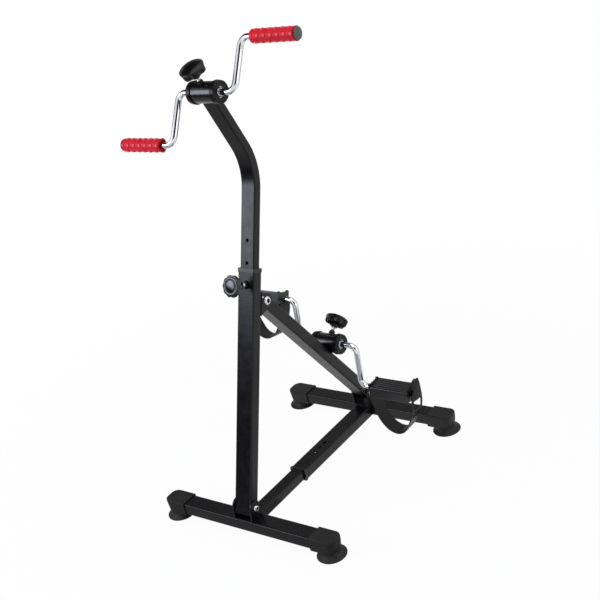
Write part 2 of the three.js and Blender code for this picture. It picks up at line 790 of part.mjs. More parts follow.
// The strap's route below the pedal, as shares of its reach outwards and of its drop
const strap_route_shares = [
  [0.03, 0.45],
  [0.13, 0.75],
  [0.28, 0.94],
  [0.46, 1],
  [0.64, 0.92],
  [0.8, 0.67],
  [0.95, 0.38],
  [1, 0.12],
  [1, -0.06],
];
function foot_strap(drop) {
  const reach = pedal_outer + strap_bulge - pedal_inner;
  const inner_x = pedal_inner - strap_thickness / 2 - seat_gap;
  const points = [
    new THREE.Vector3(inner_x, 0, -strap_inner_end),
    new THREE.Vector3(inner_x, 0, -pedal_bottom - strap_knee),
    ...strap_route_shares.map(([out, down]) => new THREE.Vector3(pedal_inner + out * reach, 0, -down * drop)),
    new THREE.Vector3(pedal_inner + reach, 0, pedal_top),
    new THREE.Vector3(pedal_inner + reach, 0, pedal_top + pedal_tip_rise),
  ];
  const band_corner = strap_thickness * strap_corner_share;
  const band = new THREE.Shape(rounded_outline(strap_width, strap_thickness, band_corner).getPoints(1));
  const settings = { steps: strap_steps, extrudePath: new THREE.CatmullRomCurve3(points), bevelEnabled: false };
  return new THREE.ExtrudeGeometry(band, settings);
}
function pedal_nut() {
  return rod_along_x(pedal_nut_radius, pedal_nut_length)
    .translate(pedal_outer + seat_gap + pedal_nut_length / 2, 0, 0);
}
function add_leg_crank(group) {
  const y = leg_throw * Math.cos(leg_crank_angle);
  const z = leg_throw * Math.sin(leg_crank_angle);
  add(group, 'leg_crank', crank(leg_throw, leg_crank_angle, leg_rod_place, pedal_outer), chrome);
  const right = frame_group(group, y, z);
  add(right, 'pedal_right', pedal_body(), black_plastic);
  add(right, 'strap_right', foot_strap(strap_drop), strap_rubber);
  add(right, 'pedal_nut_right', pedal_nut(), black_plastic);
  const left = frame_group(group, -y, -z, left_pedal_tilt);
  add(left, 'pedal_left', pedal_body().rotateZ(Math.PI), black_plastic);
  add(left, 'strap_left', foot_strap(left_strap_drop).rotateZ(Math.PI).rotateX(left_strap_tilt), strap_rubber);
  add(left, 'pedal_nut_left', pedal_nut().rotateZ(Math.PI), black_plastic);
}

// Assembly
machine.position.y = -wheelbase / 2;
add_foot(0, 'front');
add_foot(wheelbase, 'rear');
const base = frame_group(machine, 0, 0);
add(base, 'front_bracket', front_bracket(), black_steel);
add_bolt(base, 'front_pivot', front_grip, post_pivot_offset, post_pivot_height, front_head_radius);
add(base, 'strut_inner_tube', strut_inner(), black_steel);
add(base, 'strut_button', strut_button(), zinc);
add(base, 'strut_button_spring', button_spring(), zinc);
add(base, 'strut_outer_tube', strut_outer(), black_steel);
add(base, 'strut_collar', strut_collar(), black_plastic);
const rear = frame_group(machine, wheelbase, 0);
add(rear, 'rear_bracket', rear_bracket(), black_steel);
add_bolt(rear, 'rear_pivot', incline_grip, -rear_pivot_offset, rear_pivot_height);

const post = frame_group(machine, post_pivot_offset, post_pivot_height, -post_lean);
add(post, 'post_tube', post_tube(), black_steel);
add(post, 'post_collar', post_collar(), black_plastic);
add(post, 'hinge_bracket', hinge_bracket(), black_steel);
add_bolt(post, 'hinge', incline_grip, hinge_reach, hinge_height);
add(post, 'post_knob_boss', post_boss(), black_steel);
const knob_face = -post_depth / 2 - post_knob_reach;
add(post, 'post_knob', post_knob().rotateX(Math.PI / 2).translate(0, knob_face, post_knob_place), black_plastic);
const knob_back = knob_face + post_knob_thickness + post_knob_stem + seat_gap;
const knob_tip = -post_depth / 2 + tube_wall;
const knob_screw = rod(knob_screw_radius, knob_tip - knob_back)
  .translate(0, (knob_tip + knob_back) / 2, post_knob_place);
add(post, 'post_knob_screw', knob_screw, zinc);

add(post, 'mast_tube', mast_tube(), black_steel);
add(post, 'mast_plug', mast_plug(), black_plastic);
const arm = frame_group(post, -mast_arm * Math.sin(mast_bend), mast_vertex + mast_arm * Math.cos(mast_bend),
  mast_bend);
add_hub(arm, 'arm');
const arm_axis = frame_group(arm, 0, 0, post_lean - mast_bend);
add_arm_crank(arm_axis);

// The incline runs from its hinge on the post to its pivot in the rear bracket
const hinge_y = post_pivot_offset + hinge_reach * Math.cos(post_lean) + hinge_height * Math.sin(post_lean);
const hinge_z = post_pivot_height - hinge_reach * Math.sin(post_lean) + hinge_height * Math.cos(post_lean);
const run = wheelbase - rear_pivot_offset - hinge_y;
const fall = hinge_z - rear_pivot_height;
const incline_length = Math.hypot(run, fall);
const incline_lean = Math.atan2(run, fall);
const incline = frame_group(machine, hinge_y, hinge_z, incline_lean);
function incline_tube() {
  const tube = prism(tube_outline(incline_width, incline_depth), incline_length + incline_head + incline_tail)
    .translate(0, 0, -incline_length - incline_tail);
  const saddle = rod_along_x(hub_radius + seat_gap, incline_width + 2 * overrun, round_sides)
    .translate(0, hub_saddle, -leg_hub_place);
  const post_room = box(incline_width + 2 * overrun, 2 * hinge_reach, 2 * incline_width)
    .translate(0, post_depth / 2 + bracket_base + incline_post_gap - 2 * hinge_reach, 0)
    .rotateX(-post_lean - incline_lean);
  const lower_hole = cross_hole(incline_width).translate(0, 0, -incline_length);
  return cut(tube, saddle, post_room, cross_hole(incline_width), lower_hole);
}
add(incline, 'incline_tube', incline_tube(), black_steel);
const leg_hub = frame_group(incline, hub_saddle, -leg_hub_place, -Math.PI / 2);
add_hub(leg_hub, 'leg');
const leg_axis = frame_group(leg_hub, 0, 0, Math.PI / 2 - incline_lean);
add_leg_crank(leg_axis);

export default machine;
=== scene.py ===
# Arm and leg pedal exerciser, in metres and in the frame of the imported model: +Z is up, +Y runs
# from the post towards the pedals, and the crank axles lie along +X.
import json
import math

import bpy
from mathutils import Matrix, Vector


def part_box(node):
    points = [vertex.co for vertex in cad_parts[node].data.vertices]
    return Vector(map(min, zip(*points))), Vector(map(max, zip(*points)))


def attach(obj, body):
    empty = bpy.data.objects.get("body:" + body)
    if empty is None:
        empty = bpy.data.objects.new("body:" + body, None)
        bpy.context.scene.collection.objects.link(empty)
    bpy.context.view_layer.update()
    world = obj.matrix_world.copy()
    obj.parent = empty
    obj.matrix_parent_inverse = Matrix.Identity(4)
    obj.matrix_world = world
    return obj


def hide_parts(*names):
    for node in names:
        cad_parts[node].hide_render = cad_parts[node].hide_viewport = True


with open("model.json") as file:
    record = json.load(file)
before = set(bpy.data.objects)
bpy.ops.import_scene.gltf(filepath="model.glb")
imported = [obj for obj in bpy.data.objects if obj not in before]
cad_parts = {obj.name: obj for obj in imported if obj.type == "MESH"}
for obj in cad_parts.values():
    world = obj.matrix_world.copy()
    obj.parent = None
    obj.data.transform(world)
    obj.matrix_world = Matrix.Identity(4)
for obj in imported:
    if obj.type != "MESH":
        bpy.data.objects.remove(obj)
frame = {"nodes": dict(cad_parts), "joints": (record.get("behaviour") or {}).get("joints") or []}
nodes = frame["nodes"]
joints = {joint["name"]: joint for joint in frame["joints"]}
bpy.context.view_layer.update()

# Camera. It stands to the right of the machine and above it, with a long lens, and is held a
# little turned about its own axis.
camera_place = Vector((1.58361, -1.64046, 1.47182))
camera_side = math.radians(42.468)
camera_rise = math.radians(24.546)
camera_roll = math.radians(-14.249)
camera_lens = 69.5225
camera_film = 36

camera = bpy.data.objects.new("camera", bpy.data.cameras.new("camera"))
camera.data.lens = camera_lens
camera.data.sensor_width = camera_film
level_right = Vector((math.cos(camera_side), math.sin(camera_side), 0))
away = Vector((math.sin(camera_side), -math.cos(camera_side), 0)) * math.cos(camera_rise)
away.z = math.sin(camera_rise)
level_up = away.cross(level_right)
turned_right = level_right * math.cos(camera_roll) + level_up * math.sin(camera_roll)
turned_up = level_up * math.cos(camera_roll) - level_right * math.sin(camera_roll)
camera_turn = Matrix((turned_right, turned_up, away)).transposed().to_4x4()
camera.matrix_world = Matrix.Translation(camera_place) @ camera_turn
bpy.context.scene.collection.objects.link(camera)
bpy.context.scene.camera = camera
bpy.context.scene.view_settings.view_transform = "Standard"

# Studio. A white floor and a white surround, and three soft boxes. Dark and grey cards round the
# camera, on the left, behind and overhead give the chrome and the paint dark lines. Grey cards
# laid on the floor are painted floor shade, seen only in reflections.
floor_reach = 40
floor_shade_near = 0.7
floor_shade_far = 1.5
floor_white = (1, 1, 1, 1)
floor_shade_share = 0.05
surround_white = (1, 1, 1, 1)
surround_light = (0.45, 0.46, 0.48, 1)


def seen_directly(tree):
    path = tree.nodes.new("ShaderNodeLightPath")
    total = path.outputs["Is Camera Ray"]
    for kind in ("Is Glossy Ray", "Is Transmission Ray"):
        highest = tree.nodes.new("ShaderNodeMath")
        highest.operation = "MAXIMUM"
        tree.links.new(total, highest.inputs[0])
        tree.links.new(path.outputs[kind], highest.inputs[1])
        total = highest.outputs[0]
    return total


surround = bpy.data.worlds.new("surround")
surround.use_nodes = True
surround_tree = surround.node_tree
surround_colour = surround_tree.nodes.new("ShaderNodeMix")
surround_colour.data_type = "RGBA"
surround_colour.inputs[6].default_value = surround_light
surround_colour.inputs[7].default_value = surround_white
surround_tree.links.new(seen_directly(surround_tree), surround_colour.inputs[0])
surround_tree.links.new(surround_colour.outputs[2], surround_tree.nodes["Background"].inputs["Color"])
bpy.context.scene.world = surround

floor_paint = bpy.data.materials.new("floor_paint")
floor_paint.use_nodes = True
floor_tree = floor_paint.node_tree
floor_tree.nodes.remove(floor_tree.nodes["Principled BSDF"])
floor_matt = floor_tree.nodes.new("ShaderNodeBsdfDiffuse")
floor_matt.inputs["Color"].default_value = floor_white
floor_glow = floor_tree.nodes.new("ShaderNodeEmission")
floor_glow.inputs["Color"].default_value = floor_white
floor_spot = floor_tree.nodes.new("ShaderNodeTexCoord")
floor_distance = floor_tree.nodes.new("ShaderNodeVectorMath")
floor_distance.operation = "LENGTH"
floor_tree.links.new(floor_spot.outputs["Object"], floor_distance.inputs[0])
floor_fade = floor_tree.nodes.new("ShaderNodeMapRange")
floor_fade.inputs["From Min"].default_value = floor_shade_near
floor_fade.inputs["From Max"].default_value = floor_shade_far
floor_fade.inputs["To Min"].default_value = 1 - floor_shade_share
floor_fade.inputs["To Max"].default_value = 1
floor_tree.links.new(floor_distance.outputs["Value"], floor_fade.inputs["Value"])
floor_share = floor_tree.nodes.new("ShaderNodeMath")
floor_share.operation = "MULTIPLY"
floor_tree.links.new(floor_fade.outputs["Result"], floor_share.inputs[1])
floor_mix = floor_tree.nodes.new("ShaderNodeMixShader")
floor_tree.links.new(seen_directly(floor_tree), floor_share.inputs[0])
floor_tree.links.new(floor_share.outputs[0], floor_mix.inputs[0])
floor_tree.links.new(floor_matt.outputs[0], floor_mix.inputs[1])
floor_tree.links.new(floor_glow.outputs[0], floor_mix.inputs[2])
floor_tree.links.new(floor_mix.outputs[0], floor_tree.nodes["Material Output"].inputs["Surface"])


def studio_sheet(name, corners, paint):
    mesh = bpy.data.meshes.new(name)
    mesh.from_pydata(corners, [], [(0, 1, 2, 3)])
    mesh.materials.append(paint)
    sheet = bpy.data.objects.new(name, mesh)
    bpy.context.scene.collection.objects.link(sheet)
    return sheet


studio_sheet(
    "studio_floor",
    [(-floor_reach, -floor_reach, 0), (floor_reach, -floor_reach, 0),
     (floor_reach, floor_reach, 0), (-floor_reach, floor_reach, 0)],
    floor_paint,
)


def card_paint(tone):
    paint = bpy.data.materials.new("card_paint")
    paint.use_nodes = True
    tree = paint.node_tree
    tree.nodes.remove(tree.nodes["Principled BSDF"])
    glow = tree.nodes.new("ShaderNodeEmission")
    glow.inputs["Color"].default_value = (tone, tone, tone, 1)
    tree.links.new(glow.outputs[0], tree.nodes["Material Output"].inputs["Surface"])
    return paint


def hide_card(card):
    card.visible_camera = False
    card.visible_diffuse = False
    card.visible_shadow = False
    card.visible_transmission = False


def dark_card(name, turn, distance, width, low, high, tone=0.0):
    middle = Vector((math.cos(turn), math.sin(turn), 0)) * distance
    half = Vector((-math.sin(turn), math.cos(turn), 0)) * width / 2
    corners = [middle - half, middle + half, middle + half, middle - half]
    heights = [low, low, high, high]
    hide_card(studio_sheet(name, [(c.x, c.y, z) for c, z in zip(corners, heights)], card_paint(tone)))


dark_card("card_round_camera", turn=math.radians(-50), distance=2.6, width=2.77, low=1.6, high=3.9)
dark_card("card_low_left", turn=math.radians(-131), distance=2.1, width=1.7, low=0.02, high=0.86)
dark_card("card_behind_left", turn=math.radians(170), distance=2.6, width=2.0, low=0.3, high=1.9, tone=0.05)
dark_card("card_behind", turn=math.radians(96), distance=1.5, width=1.1, low=0.02, high=0.55, tone=0.05)
dark_card("card_back", turn=math.radians(132), distance=3.4, width=3.0, low=1.1, high=3.0, tone=0.2)


def level_card(name, low, high, height, tone):
    corners = [(low[0], low[1]), (high[0], low[1]), (high[0], high[1]), (low[0], high[1])]
    hide_card(studio_sheet(name, [(x, y, height) for x, y in corners], card_paint(tone)))


level_card("card_above", low=(-2.8, -0.9), high=(-0.65, 1.5), height=2.5, tone=0.03)
# Painted shade of the floor near the machine and below it, seen only by glossy rays.
level_card("floor_shade_card", low=(-1.7, -1.4), high=(0.9, -0.12), height=0.0006, tone=0.45)
level_card("floor_shade_card_below", low=(-0.4, 0.03), high=(0.0, 0.35), height=0.0006, tone=0.8)


def soft_box(name, place, aim, width, height, brightness, tint):
    lamp = bpy.data.lights.new(name, "AREA")
    lamp.shape = "RECTANGLE"
    lamp.size = width
    lamp.size_y = height
    lamp.color = tint
    lamp.energy = brightness * math.pi * width * height
    box = bpy.data.objects.new(name, lamp)
    box.location = place
    box.rotation_euler = (Vector(aim) - Vector(place)).to_track_quat("-Z", "Y").to_euler()
    box.visible_camera = False
    bpy.context.scene.collection.objects.link(box)


soft_box(
    "soft_box_left", place=(-1.5, -1.72, 1.5), aim=(0, -0.1, 0.7),
    width=1.1, height=1.1, brightness=6.4, tint=(0.80, 0.83, 1.0),
)
soft_box(
    "soft_box_above", place=(0.3, -0.2, 2.6), aim=(0, 0, 0.4),
    width=1.8, height=1.8, brightness=1.2, tint=(1.0, 1.0, 1.0),
)
soft_box(
    "soft_box_right", place=(2.0, 0.2, 1.3), aim=(0, 0, 0.5),
    width=1.0, height=1.2, brightness=1.2, tint=(1.0, 1.0, 1.0),
)

# Cross feet, front and rear. Each is a length of rectangular steel tube, cut square and powder
# coated satin black with a fine orange-peel grain.
paint_dark = (10, 10, 12)
paint_light = (18, 18, 21)
paint_edge = (58, 58, 62)
paint_patch = 0.06
paint_grain = 0.0011
paint_grain_depth = 0.000012
paint_edge_width = 0.0006
paint_worn_likeness = 0.8
paint_whole_likeness = 0.995
tube_edge = 0.0005


def shade(colour):
    parts = [part / 255 for part in colour]
    return [part / 12.92 if part <= 0.04045 else ((part + 0.055) / 1.055) ** 2.4 for part in parts] + [1]


def mottle(tree, size, detail=3.0):
    place = tree.nodes.new("ShaderNodeTexCoord")
    noise = tree.nodes.new("ShaderNodeTexNoise")
    noise.inputs["Scale"].default_value = 1 / size
    noise.inputs["Detail"].default_value = detail
    tree.links.new(place.outputs["Object"], noise.inputs["Vector"])
    return noise.outputs[0]


def spread(tree, source, low, high, from_low=0.3, from_high=0.7):
    ranged = tree.nodes.new("ShaderNodeMapRange")
    ranged.inputs["From Min"].default_value = from_low
    ranged.inputs["From Max"].default_value = from_high
    ranged.inputs["To Min"].default_value = low
    ranged.inputs["To Max"].default_value = high
    tree.links.new(source, ranged.inputs["Value"])
    return ranged.outputs["Result"]


def between(tree, share, first, second):
    mix = tree.nodes.new("ShaderNodeMix")
    mix.data_type = "RGBA"
    tree.links.new(share, mix.inputs[0])
    for socket, colour in ((mix.inputs[6], first), (mix.inputs[7], second)):
        if isinstance(colour, bpy.types.NodeSocket):
            tree.links.new(colour, socket)
        else:
            socket.default_value = shade(colour)
    return mix.outputs[2]


def patches(tree, dark, light, size, detail=3.0):
    return between(tree, spread(tree, mottle(tree, size, detail), 0, 1), dark, light)


def sheen(tree, shader, smooth, rough, size, detail=3.0):
    tree.links.new(spread(tree, mottle(tree, size, detail), smooth, rough), shader.inputs["Roughness"])


def grain(tree, shader, size, depth, detail=2.0):
    bump = tree.nodes.new("ShaderNodeBump")
    bump.inputs["Strength"].default_value = 1
    bump.inputs["Distance"].default_value = depth
    tree.links.new(mottle(tree, size, detail), bump.inputs["Height"])
    tree.links.new(bump.outputs["Normal"], shader.inputs["Normal"])
    return bump


def edge_share(tree, width):
    soft = tree.nodes.new("ShaderNodeBevel")
    soft.samples = 4
    soft.inputs["Radius"].default_value = width
    plain = tree.nodes.new("ShaderNodeNewGeometry")
    likeness = tree.nodes.new("ShaderNodeVectorMath")
    likeness.operation = "DOT_PRODUCT"
    tree.links.new(soft.outputs["Normal"], likeness.inputs[0])
    tree.links.new(plain.outputs["Normal"], likeness.inputs[1])
    return spread(tree, likeness.outputs["Value"], 1, 0, paint_worn_likeness, paint_whole_likeness)


def start_finish(name):
    finish = bpy.data.materials.new(name)
    finish.use_nodes = True
    return finish, finish.node_tree, finish.node_tree.nodes["Principled BSDF"]


def powder_coat(name, smooth, rough, gloss):
    finish, tree, shader = start_finish(name)
    body = patches(tree, paint_dark, paint_light, paint_patch)
    worn = between(tree, edge_share(tree, paint_edge_width), body, paint_edge)
    tree.links.new(worn, shader.inputs["Base Color"])
    sheen(tree, shader, smooth, rough, paint_patch / 3)
    shader.inputs["Specular IOR Level"].default_value = gloss
    grain(tree, shader, paint_grain, paint_grain_depth)
    return finish


black_paint = powder_coat("black_paint", smooth=0.22, rough=0.3, gloss=0.25)
smooth_angle = math.radians(32)
weld_reach = 0.00002
flat_angle = math.radians(0.5)


def soft_shading(piece):
    group = bpy.data.node_groups.get("soft_shading")
    if group is None:
        group = bpy.data.node_groups.new("soft_shading", "GeometryNodeTree")
        group.interface.new_socket("Geometry", in_out="INPUT", socket_type="NodeSocketGeometry")
        group.interface.new_socket("Geometry", in_out="OUTPUT", socket_type="NodeSocketGeometry")
        start = group.nodes.new("NodeGroupInput")
        end = group.nodes.new("NodeGroupOutput")
        angle = group.nodes.new("GeometryNodeInputMeshEdgeAngle")
        sharp = group.nodes.new("FunctionNodeCompare")
        sharp.operation = "GREATER_THAN"
        sharp.inputs["B"].default_value = smooth_angle
        normal = group.nodes.new("GeometryNodeSetMeshNormal")
        normal.mode = "SHARPNESS"
        group.links.new(angle.outputs["Unsigned Angle"], sharp.inputs["A"])
        group.links.new(sharp.outputs["Result"], normal.inputs["Edge Sharpness"])
        group.links.new(start.outputs[0], normal.inputs["Mesh"])
        group.links.new(normal.outputs["Mesh"], end.inputs[0])
    step = piece.modifiers.new("soft_shading", "NODES")
    step.node_group = group
    weigh = piece.modifiers.new("flat_faces", "WEIGHTED_NORMAL")
    weigh.keep_sharp = True


def dress(name, finish, edge=0.0):
    node = nodes[name]
    node.data.materials.clear()
    node.data.materials.append(finish)
    weld = node.modifiers.new("weld", "WELD")
    weld.merge_threshold = weld_reach
    flats = node.modifiers.new("flats", "DECIMATE")
    flats.decimate_type = "DISSOLVE"
    flats.angle_limit = flat_angle
    if edge:
        bevel = node.modifiers.new("edges", "BEVEL")
        bevel.width = edge
        bevel.segments = 3
        bevel.limit_method = "ANGLE"
        bevel.angle_limit = smooth_angle
        bevel.use_clamp_overlap = True
    soft_shading(node)


for place in ("front", "rear"):
    dress(f"{place}_foot_tube", black_paint, tube_edge)

# Rubber end caps. Each is moulded in one piece of matt black rubber: a sleeve with a rounded
# end that is pushed over the tube, and a bell-shaped pad below it that stands on the floor.
cap_middle = 0.214
cap_feet = {"front": -0.23975, "rear": 0.23975}
cap_body = {"front": "front_base", "rear": "rear_base"}
cap_half_width = 0.02225
cap_mouth = 0.037
cap_end = 0.024
cap_end_radius = 0.017
cap_tube_depth = 0.0401
cap_tube_low = 0.0172
cap_tube_high = 0.0448
cap_pocket_end = 0.0087
cap_overrun = 0.002
cap_edge = 0.0007
cap_bell = [
    (0.0, 0.0314), (0.0008, 0.0326), (0.0028, 0.0327), (0.0042, 0.0314), (0.0060, 0.0284),
    (0.0085, 0.0252), (0.0112, 0.0232), (0.0135, 0.0224),
]
cap_sleeve = [
    (0.0152, 0.0185, 0.0212, 0.0352), (0.0162, 0.0192, 0.0220, 0.037), (0.0250, 0.0213, 0.0222, 0.037),
    (0.0340, 0.0231, 0.02225, 0.037), (0.0415, 0.0239, 0.02225, 0.037), (0.0440, 0.0240, 0.02225, 0.037),
    (0.0458, 0.0236, 0.0218, 0.037), (0.0467, 0.0227, 0.0209, 0.0368), (0.0470, 0.0214, 0.0196, 0.0362),
]
rubber_dark = (17, 17, 18)
rubber_light = (27, 27, 28)
rubber_dust = (40, 40, 40)
rubber_patch = 0.018
rubber_dust_size = 0.004
rubber_dust_share = 0.5
rubber_dust_from = 0.52
rubber_dust_to = 0.75
rubber_grain = 0.0005
rubber_grain_depth = 0.000012


def moulded_rubber(name, dark, light, dust, gloss, smooth, rough):
    finish, tree, shader = start_finish(name)
    body = patches(tree, dark, light, rubber_patch)
    dust_noise = mottle(tree, rubber_dust_size, 6)
    dust_share = spread(tree, dust_noise, 0, rubber_dust_share, rubber_dust_from, rubber_dust_to)
    tree.links.new(between(tree, dust_share, body, dust), shader.inputs["Base Color"])
    sheen(tree, shader, smooth, rough, rubber_patch / 2)
    shader.inputs["Specular IOR Level"].default_value = gloss
    grain(tree, shader, rubber_grain, rubber_grain_depth)
    return finish


black_rubber = moulded_rubber(
    "black_rubber", rubber_dark, rubber_light, rubber_dust, gloss=0.3, smooth=0.5, rough=0.62,
)


def skin(rings, closed=False):
    count = len(rings[0])
    points = [tuple(point) for ring in rings for point in ring]
    faces = []
    last = len(rings) if closed else len(rings) - 1
    for i in range(last):
        near = i * count
        far = (i + 1) % len(rings) * count
        faces += [(near + j, near + (j + 1) % count, far + (j + 1) % count, far + j) for j in range(count)]
    if not closed:
        faces += [tuple(range(count))[::-1], tuple(range((len(rings) - 1) * count, len(rings) * count))]
    return points, faces


def make(name, shape, finish, place=Matrix.Identity(4)):
    points, faces = shape
    mesh = bpy.data.meshes.new(name)
    mesh.from_pydata([place @ Vector(point) for point in points], [], faces)
    mesh.materials.append(finish)
    mesh.shade_smooth()
    mesh.set_sharp_from_angle(angle=smooth_angle)
    piece = bpy.data.objects.new(name, mesh)
    bpy.context.scene.collection.objects.link(piece)
    return piece


def settle(piece):
    bpy.context.view_layer.update()
    final = piece.evaluated_get(bpy.context.evaluated_depsgraph_get())
    mesh = bpy.data.meshes.new_from_object(final)
    piece.modifiers.clear()
    piece.data = mesh
    return piece


def work(piece, tool, operation):
    step = piece.modifiers.new(operation, "BOOLEAN")
    step.operation = operation
    step.solver = "EXACT"
    step.object = tool
    settle(piece)
    bpy.data.objects.remove(tool)
    return piece


def round_edges(piece, width, segments=2):
    bevel = piece.modifiers.new("edges", "BEVEL")
    bevel.width = width
    bevel.segments = segments
    bevel.limit_method = "ANGLE"
    bevel.angle_limit = smooth_angle
    soft_shading(piece)
    return piece


def block(low, high):
    (x0, y0, z0), (x1, y1, z1) = low, high
    base = [(x0, y0), (x1, y0), (x1, y1), (x0, y1)]
    return skin([[(x, y, z) for x, y in base] for z in (z0, z1)])


def straight(first, last, steps):
    return [tuple(Vector(first).lerp(Vector(last), i / steps)) for i in range(steps)]


def arc(centre, radius, start, end, steps):
    turns = [math.radians(start + (end - start) * i / steps) for i in range(steps)]
    return [(centre[0] + radius * math.cos(turn), centre[1] + radius * math.sin(turn)) for turn in turns]


def cap_plan():
    inner = cap_half_width - cap_end_radius
    corner = cap_end - cap_end_radius
    plan = straight((-cap_mouth, cap_half_width), (-cap_mouth, -cap_half_width), 12)
    plan += straight((-cap_mouth, -cap_half_width), (corner, -cap_half_width), 10)
    plan += arc((corner, -inner), cap_end_radius, -90, 0, 12)
    plan += straight((cap_end, -inner), (cap_end, inner), 4)
    plan += arc((corner, inner), cap_end_radius, 0, 90, 12)
    plan += straight((corner, cap_half_width), (-cap_mouth, cap_half_width), 10)
    return plan


def foot_cap(name):
    plan = cap_plan()
    rings = []
    for height, radius in cap_bell:
        ring = [Vector(point).normalized() * radius for point in plan]
        rings.append([(point.x, point.y, height) for point in ring])
    for height, end, side, mouth in cap_sleeve:
        ring = []
        for x, y in plan:
            reach = end / cap_end if x > 0 else mouth / cap_mouth
            ring.append((x * reach, y * side / cap_half_width, height))
        rings.append(ring)
    cap = make(name, skin(rings), black_rubber)
    pocket = block(
        (-cap_mouth - cap_overrun, -cap_tube_depth / 2, cap_tube_low),
        (-cap_pocket_end, cap_tube_depth / 2, cap_tube_high),
    )
    return work(cap, make("cap_pocket", pocket, black_rubber), "DIFFERENCE")


for place, y in cap_feet.items():
    for side, sign in (("right", 1), ("left", -1)):
        cap = foot_cap(f"rubber_cap_{place}_{side}")
        turn = Matrix.Rotation(0 if sign > 0 else math.pi, 4, "Z")
        cap.data.transform(Matrix.Translation((sign * cap_middle, y, 0)) @ turn)
        round_edges(cap, cap_edge)
        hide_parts(f"{place}_foot_cap_{side}")
        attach(cap, cap_body[place])

# Brackets on the front foot, the rear foot and the post. Each is folded from 3 mm steel plate
# with two round ears, welded on and powder coated with the frame.
bracket_edge = 0.0006
for bracket in ("front_bracket", "rear_bracket", "hinge_bracket"):
    dress(bracket, black_paint, bracket_edge)

# Pivot bolts with their lock nuts. Zinc-plated steel: a domed head with a hexagon socket on
# the right, and a nyloc nut on the left with the end of the thread standing out of it.
bolt_grips = {"front_pivot": 0.0516, "rear_pivot": 0.0466, "hinge": 0.0466}
bolt_heads = {"front_pivot": 0.007, "rear_pivot": 0.0095, "hinge": 0.0095}
bolt_bodies = {"front_pivot": "front_base", "rear_pivot": "rear_base", "hinge": "post"}
bolt_radius = 0.005
bolt_gap = 0.0003
bolt_tail = 0.003
bolt_nut_height = 0.008
bolt_nut_across = 0.017
bolt_point = 0.0008
bolt_point_share = 0.8
bolt_rim = 0.001
bolt_dome_shares = (0.25, 0.5, 0.75, 0.95)
bolt_socket_share = 0.56
bolt_crown_share = 1.1
bolt_mouth_share = 1.8
bolt_hexagon_share = 1.75
bolt_inside_share = 0.98
bolt_head_height = 0.005
bolt_socket_lip = 0.0002
bolt_socket_floor = 0.0012
nut_rim_share = 0.96
nut_corner_share = 0.985
nut_flat_shares = (0.12, 0.68)
nut_shoulder_share = 0.8
nut_collar_shares = [(0.86, 0.84), (0.84, 1.0)]
zinc_patch = 0.003
zinc_grain = 0.0006


def plated_steel(name, dark, light, smooth, rough, depth):
    finish, tree, shader = start_finish(name)
    tree.links.new(patches(tree, dark, light, zinc_patch, 5), shader.inputs["Base Color"])
    sheen(tree, shader, smooth, rough, zinc_patch / 2, 6)
    shader.inputs["Metallic"].default_value = 1
    grain(tree, shader, zinc_grain, depth)
    return finish


bright_zinc = plated_steel(
    "bright_zinc", dark=(196, 198, 202), light=(232, 233, 236), smooth=0.2, rough=0.38, depth=0.000005,
)
# Dark zinc, painted shade for the inside of the bolt sockets.
socket_shade_zinc = plated_steel(
    "socket_shade_zinc", dark=(44, 45, 47), light=(70, 71, 74), smooth=0.4, rough=0.6, depth=0.000005,
)
round_steps = 48


def circle(radius, height, steps=round_steps):
    turns = [2 * math.pi * i / steps for i in range(steps)]
    return [(radius * math.cos(turn), radius * math.sin(turn), height) for turn in turns]


def hexagon(across, height, limit=1.0, steps=round_steps):
    ring = []
    for i in range(steps):
        turn = 2 * math.pi * i / steps
        reach = across / 2 / math.cos((turn + math.pi / 6) % (math.pi / 3) - math.pi / 6)
        reach = min(reach, limit)
        ring.append((reach * math.cos(turn), reach * math.sin(turn), height))
    return ring


along_x = Matrix.Rotation(math.pi / 2, 4, "Y")


def bolt_shape(grip, head):
    low = -grip - bolt_nut_height - bolt_tail
    socket = head * bolt_socket_share
    crown = socket * bolt_crown_share
    rings = [circle(bolt_radius * bolt_point_share, low), circle(bolt_radius, low + bolt_point)]
    rings += [circle(bolt_radius, bolt_gap), circle(head, bolt_gap), circle(head, bolt_gap + bolt_rim)]
    for share in bolt_dome_shares:
        turn = share * math.pi / 2
        height = bolt_gap + bolt_rim + (bolt_head_height - bolt_rim) * math.sin(turn)
        rings.append(circle(crown + (head - crown) * math.cos(turn), height))
    rings.append(hexagon(socket * bolt_mouth_share, bolt_gap + bolt_head_height - bolt_socket_lip))
    rings.append(hexagon(socket * bolt_hexagon_share, bolt_gap + bolt_socket_floor))
    return skin(rings)


def nut_shape(across, height, bore):
    corner = across / math.sqrt(3) * nut_corner_share
    rim = across / 2 * nut_rim_share
    rings = [circle(bore, 0), circle(rim, 0)]
    rings += [hexagon(across, height * share, corner) for share in nut_flat_shares]
    rings.append(circle(rim, height * nut_shoulder_share))
    rings += [circle(rim * wide, height * high) for wide, high in nut_collar_shares]
    rings.append(circle(bore, height))
    return skin(rings, closed=True)


def bolt_place(name):
    low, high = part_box(f"{name}_nut")
    return Matrix.Translation((0, (low.y + high.y) / 2, (low.z + high.z) / 2))


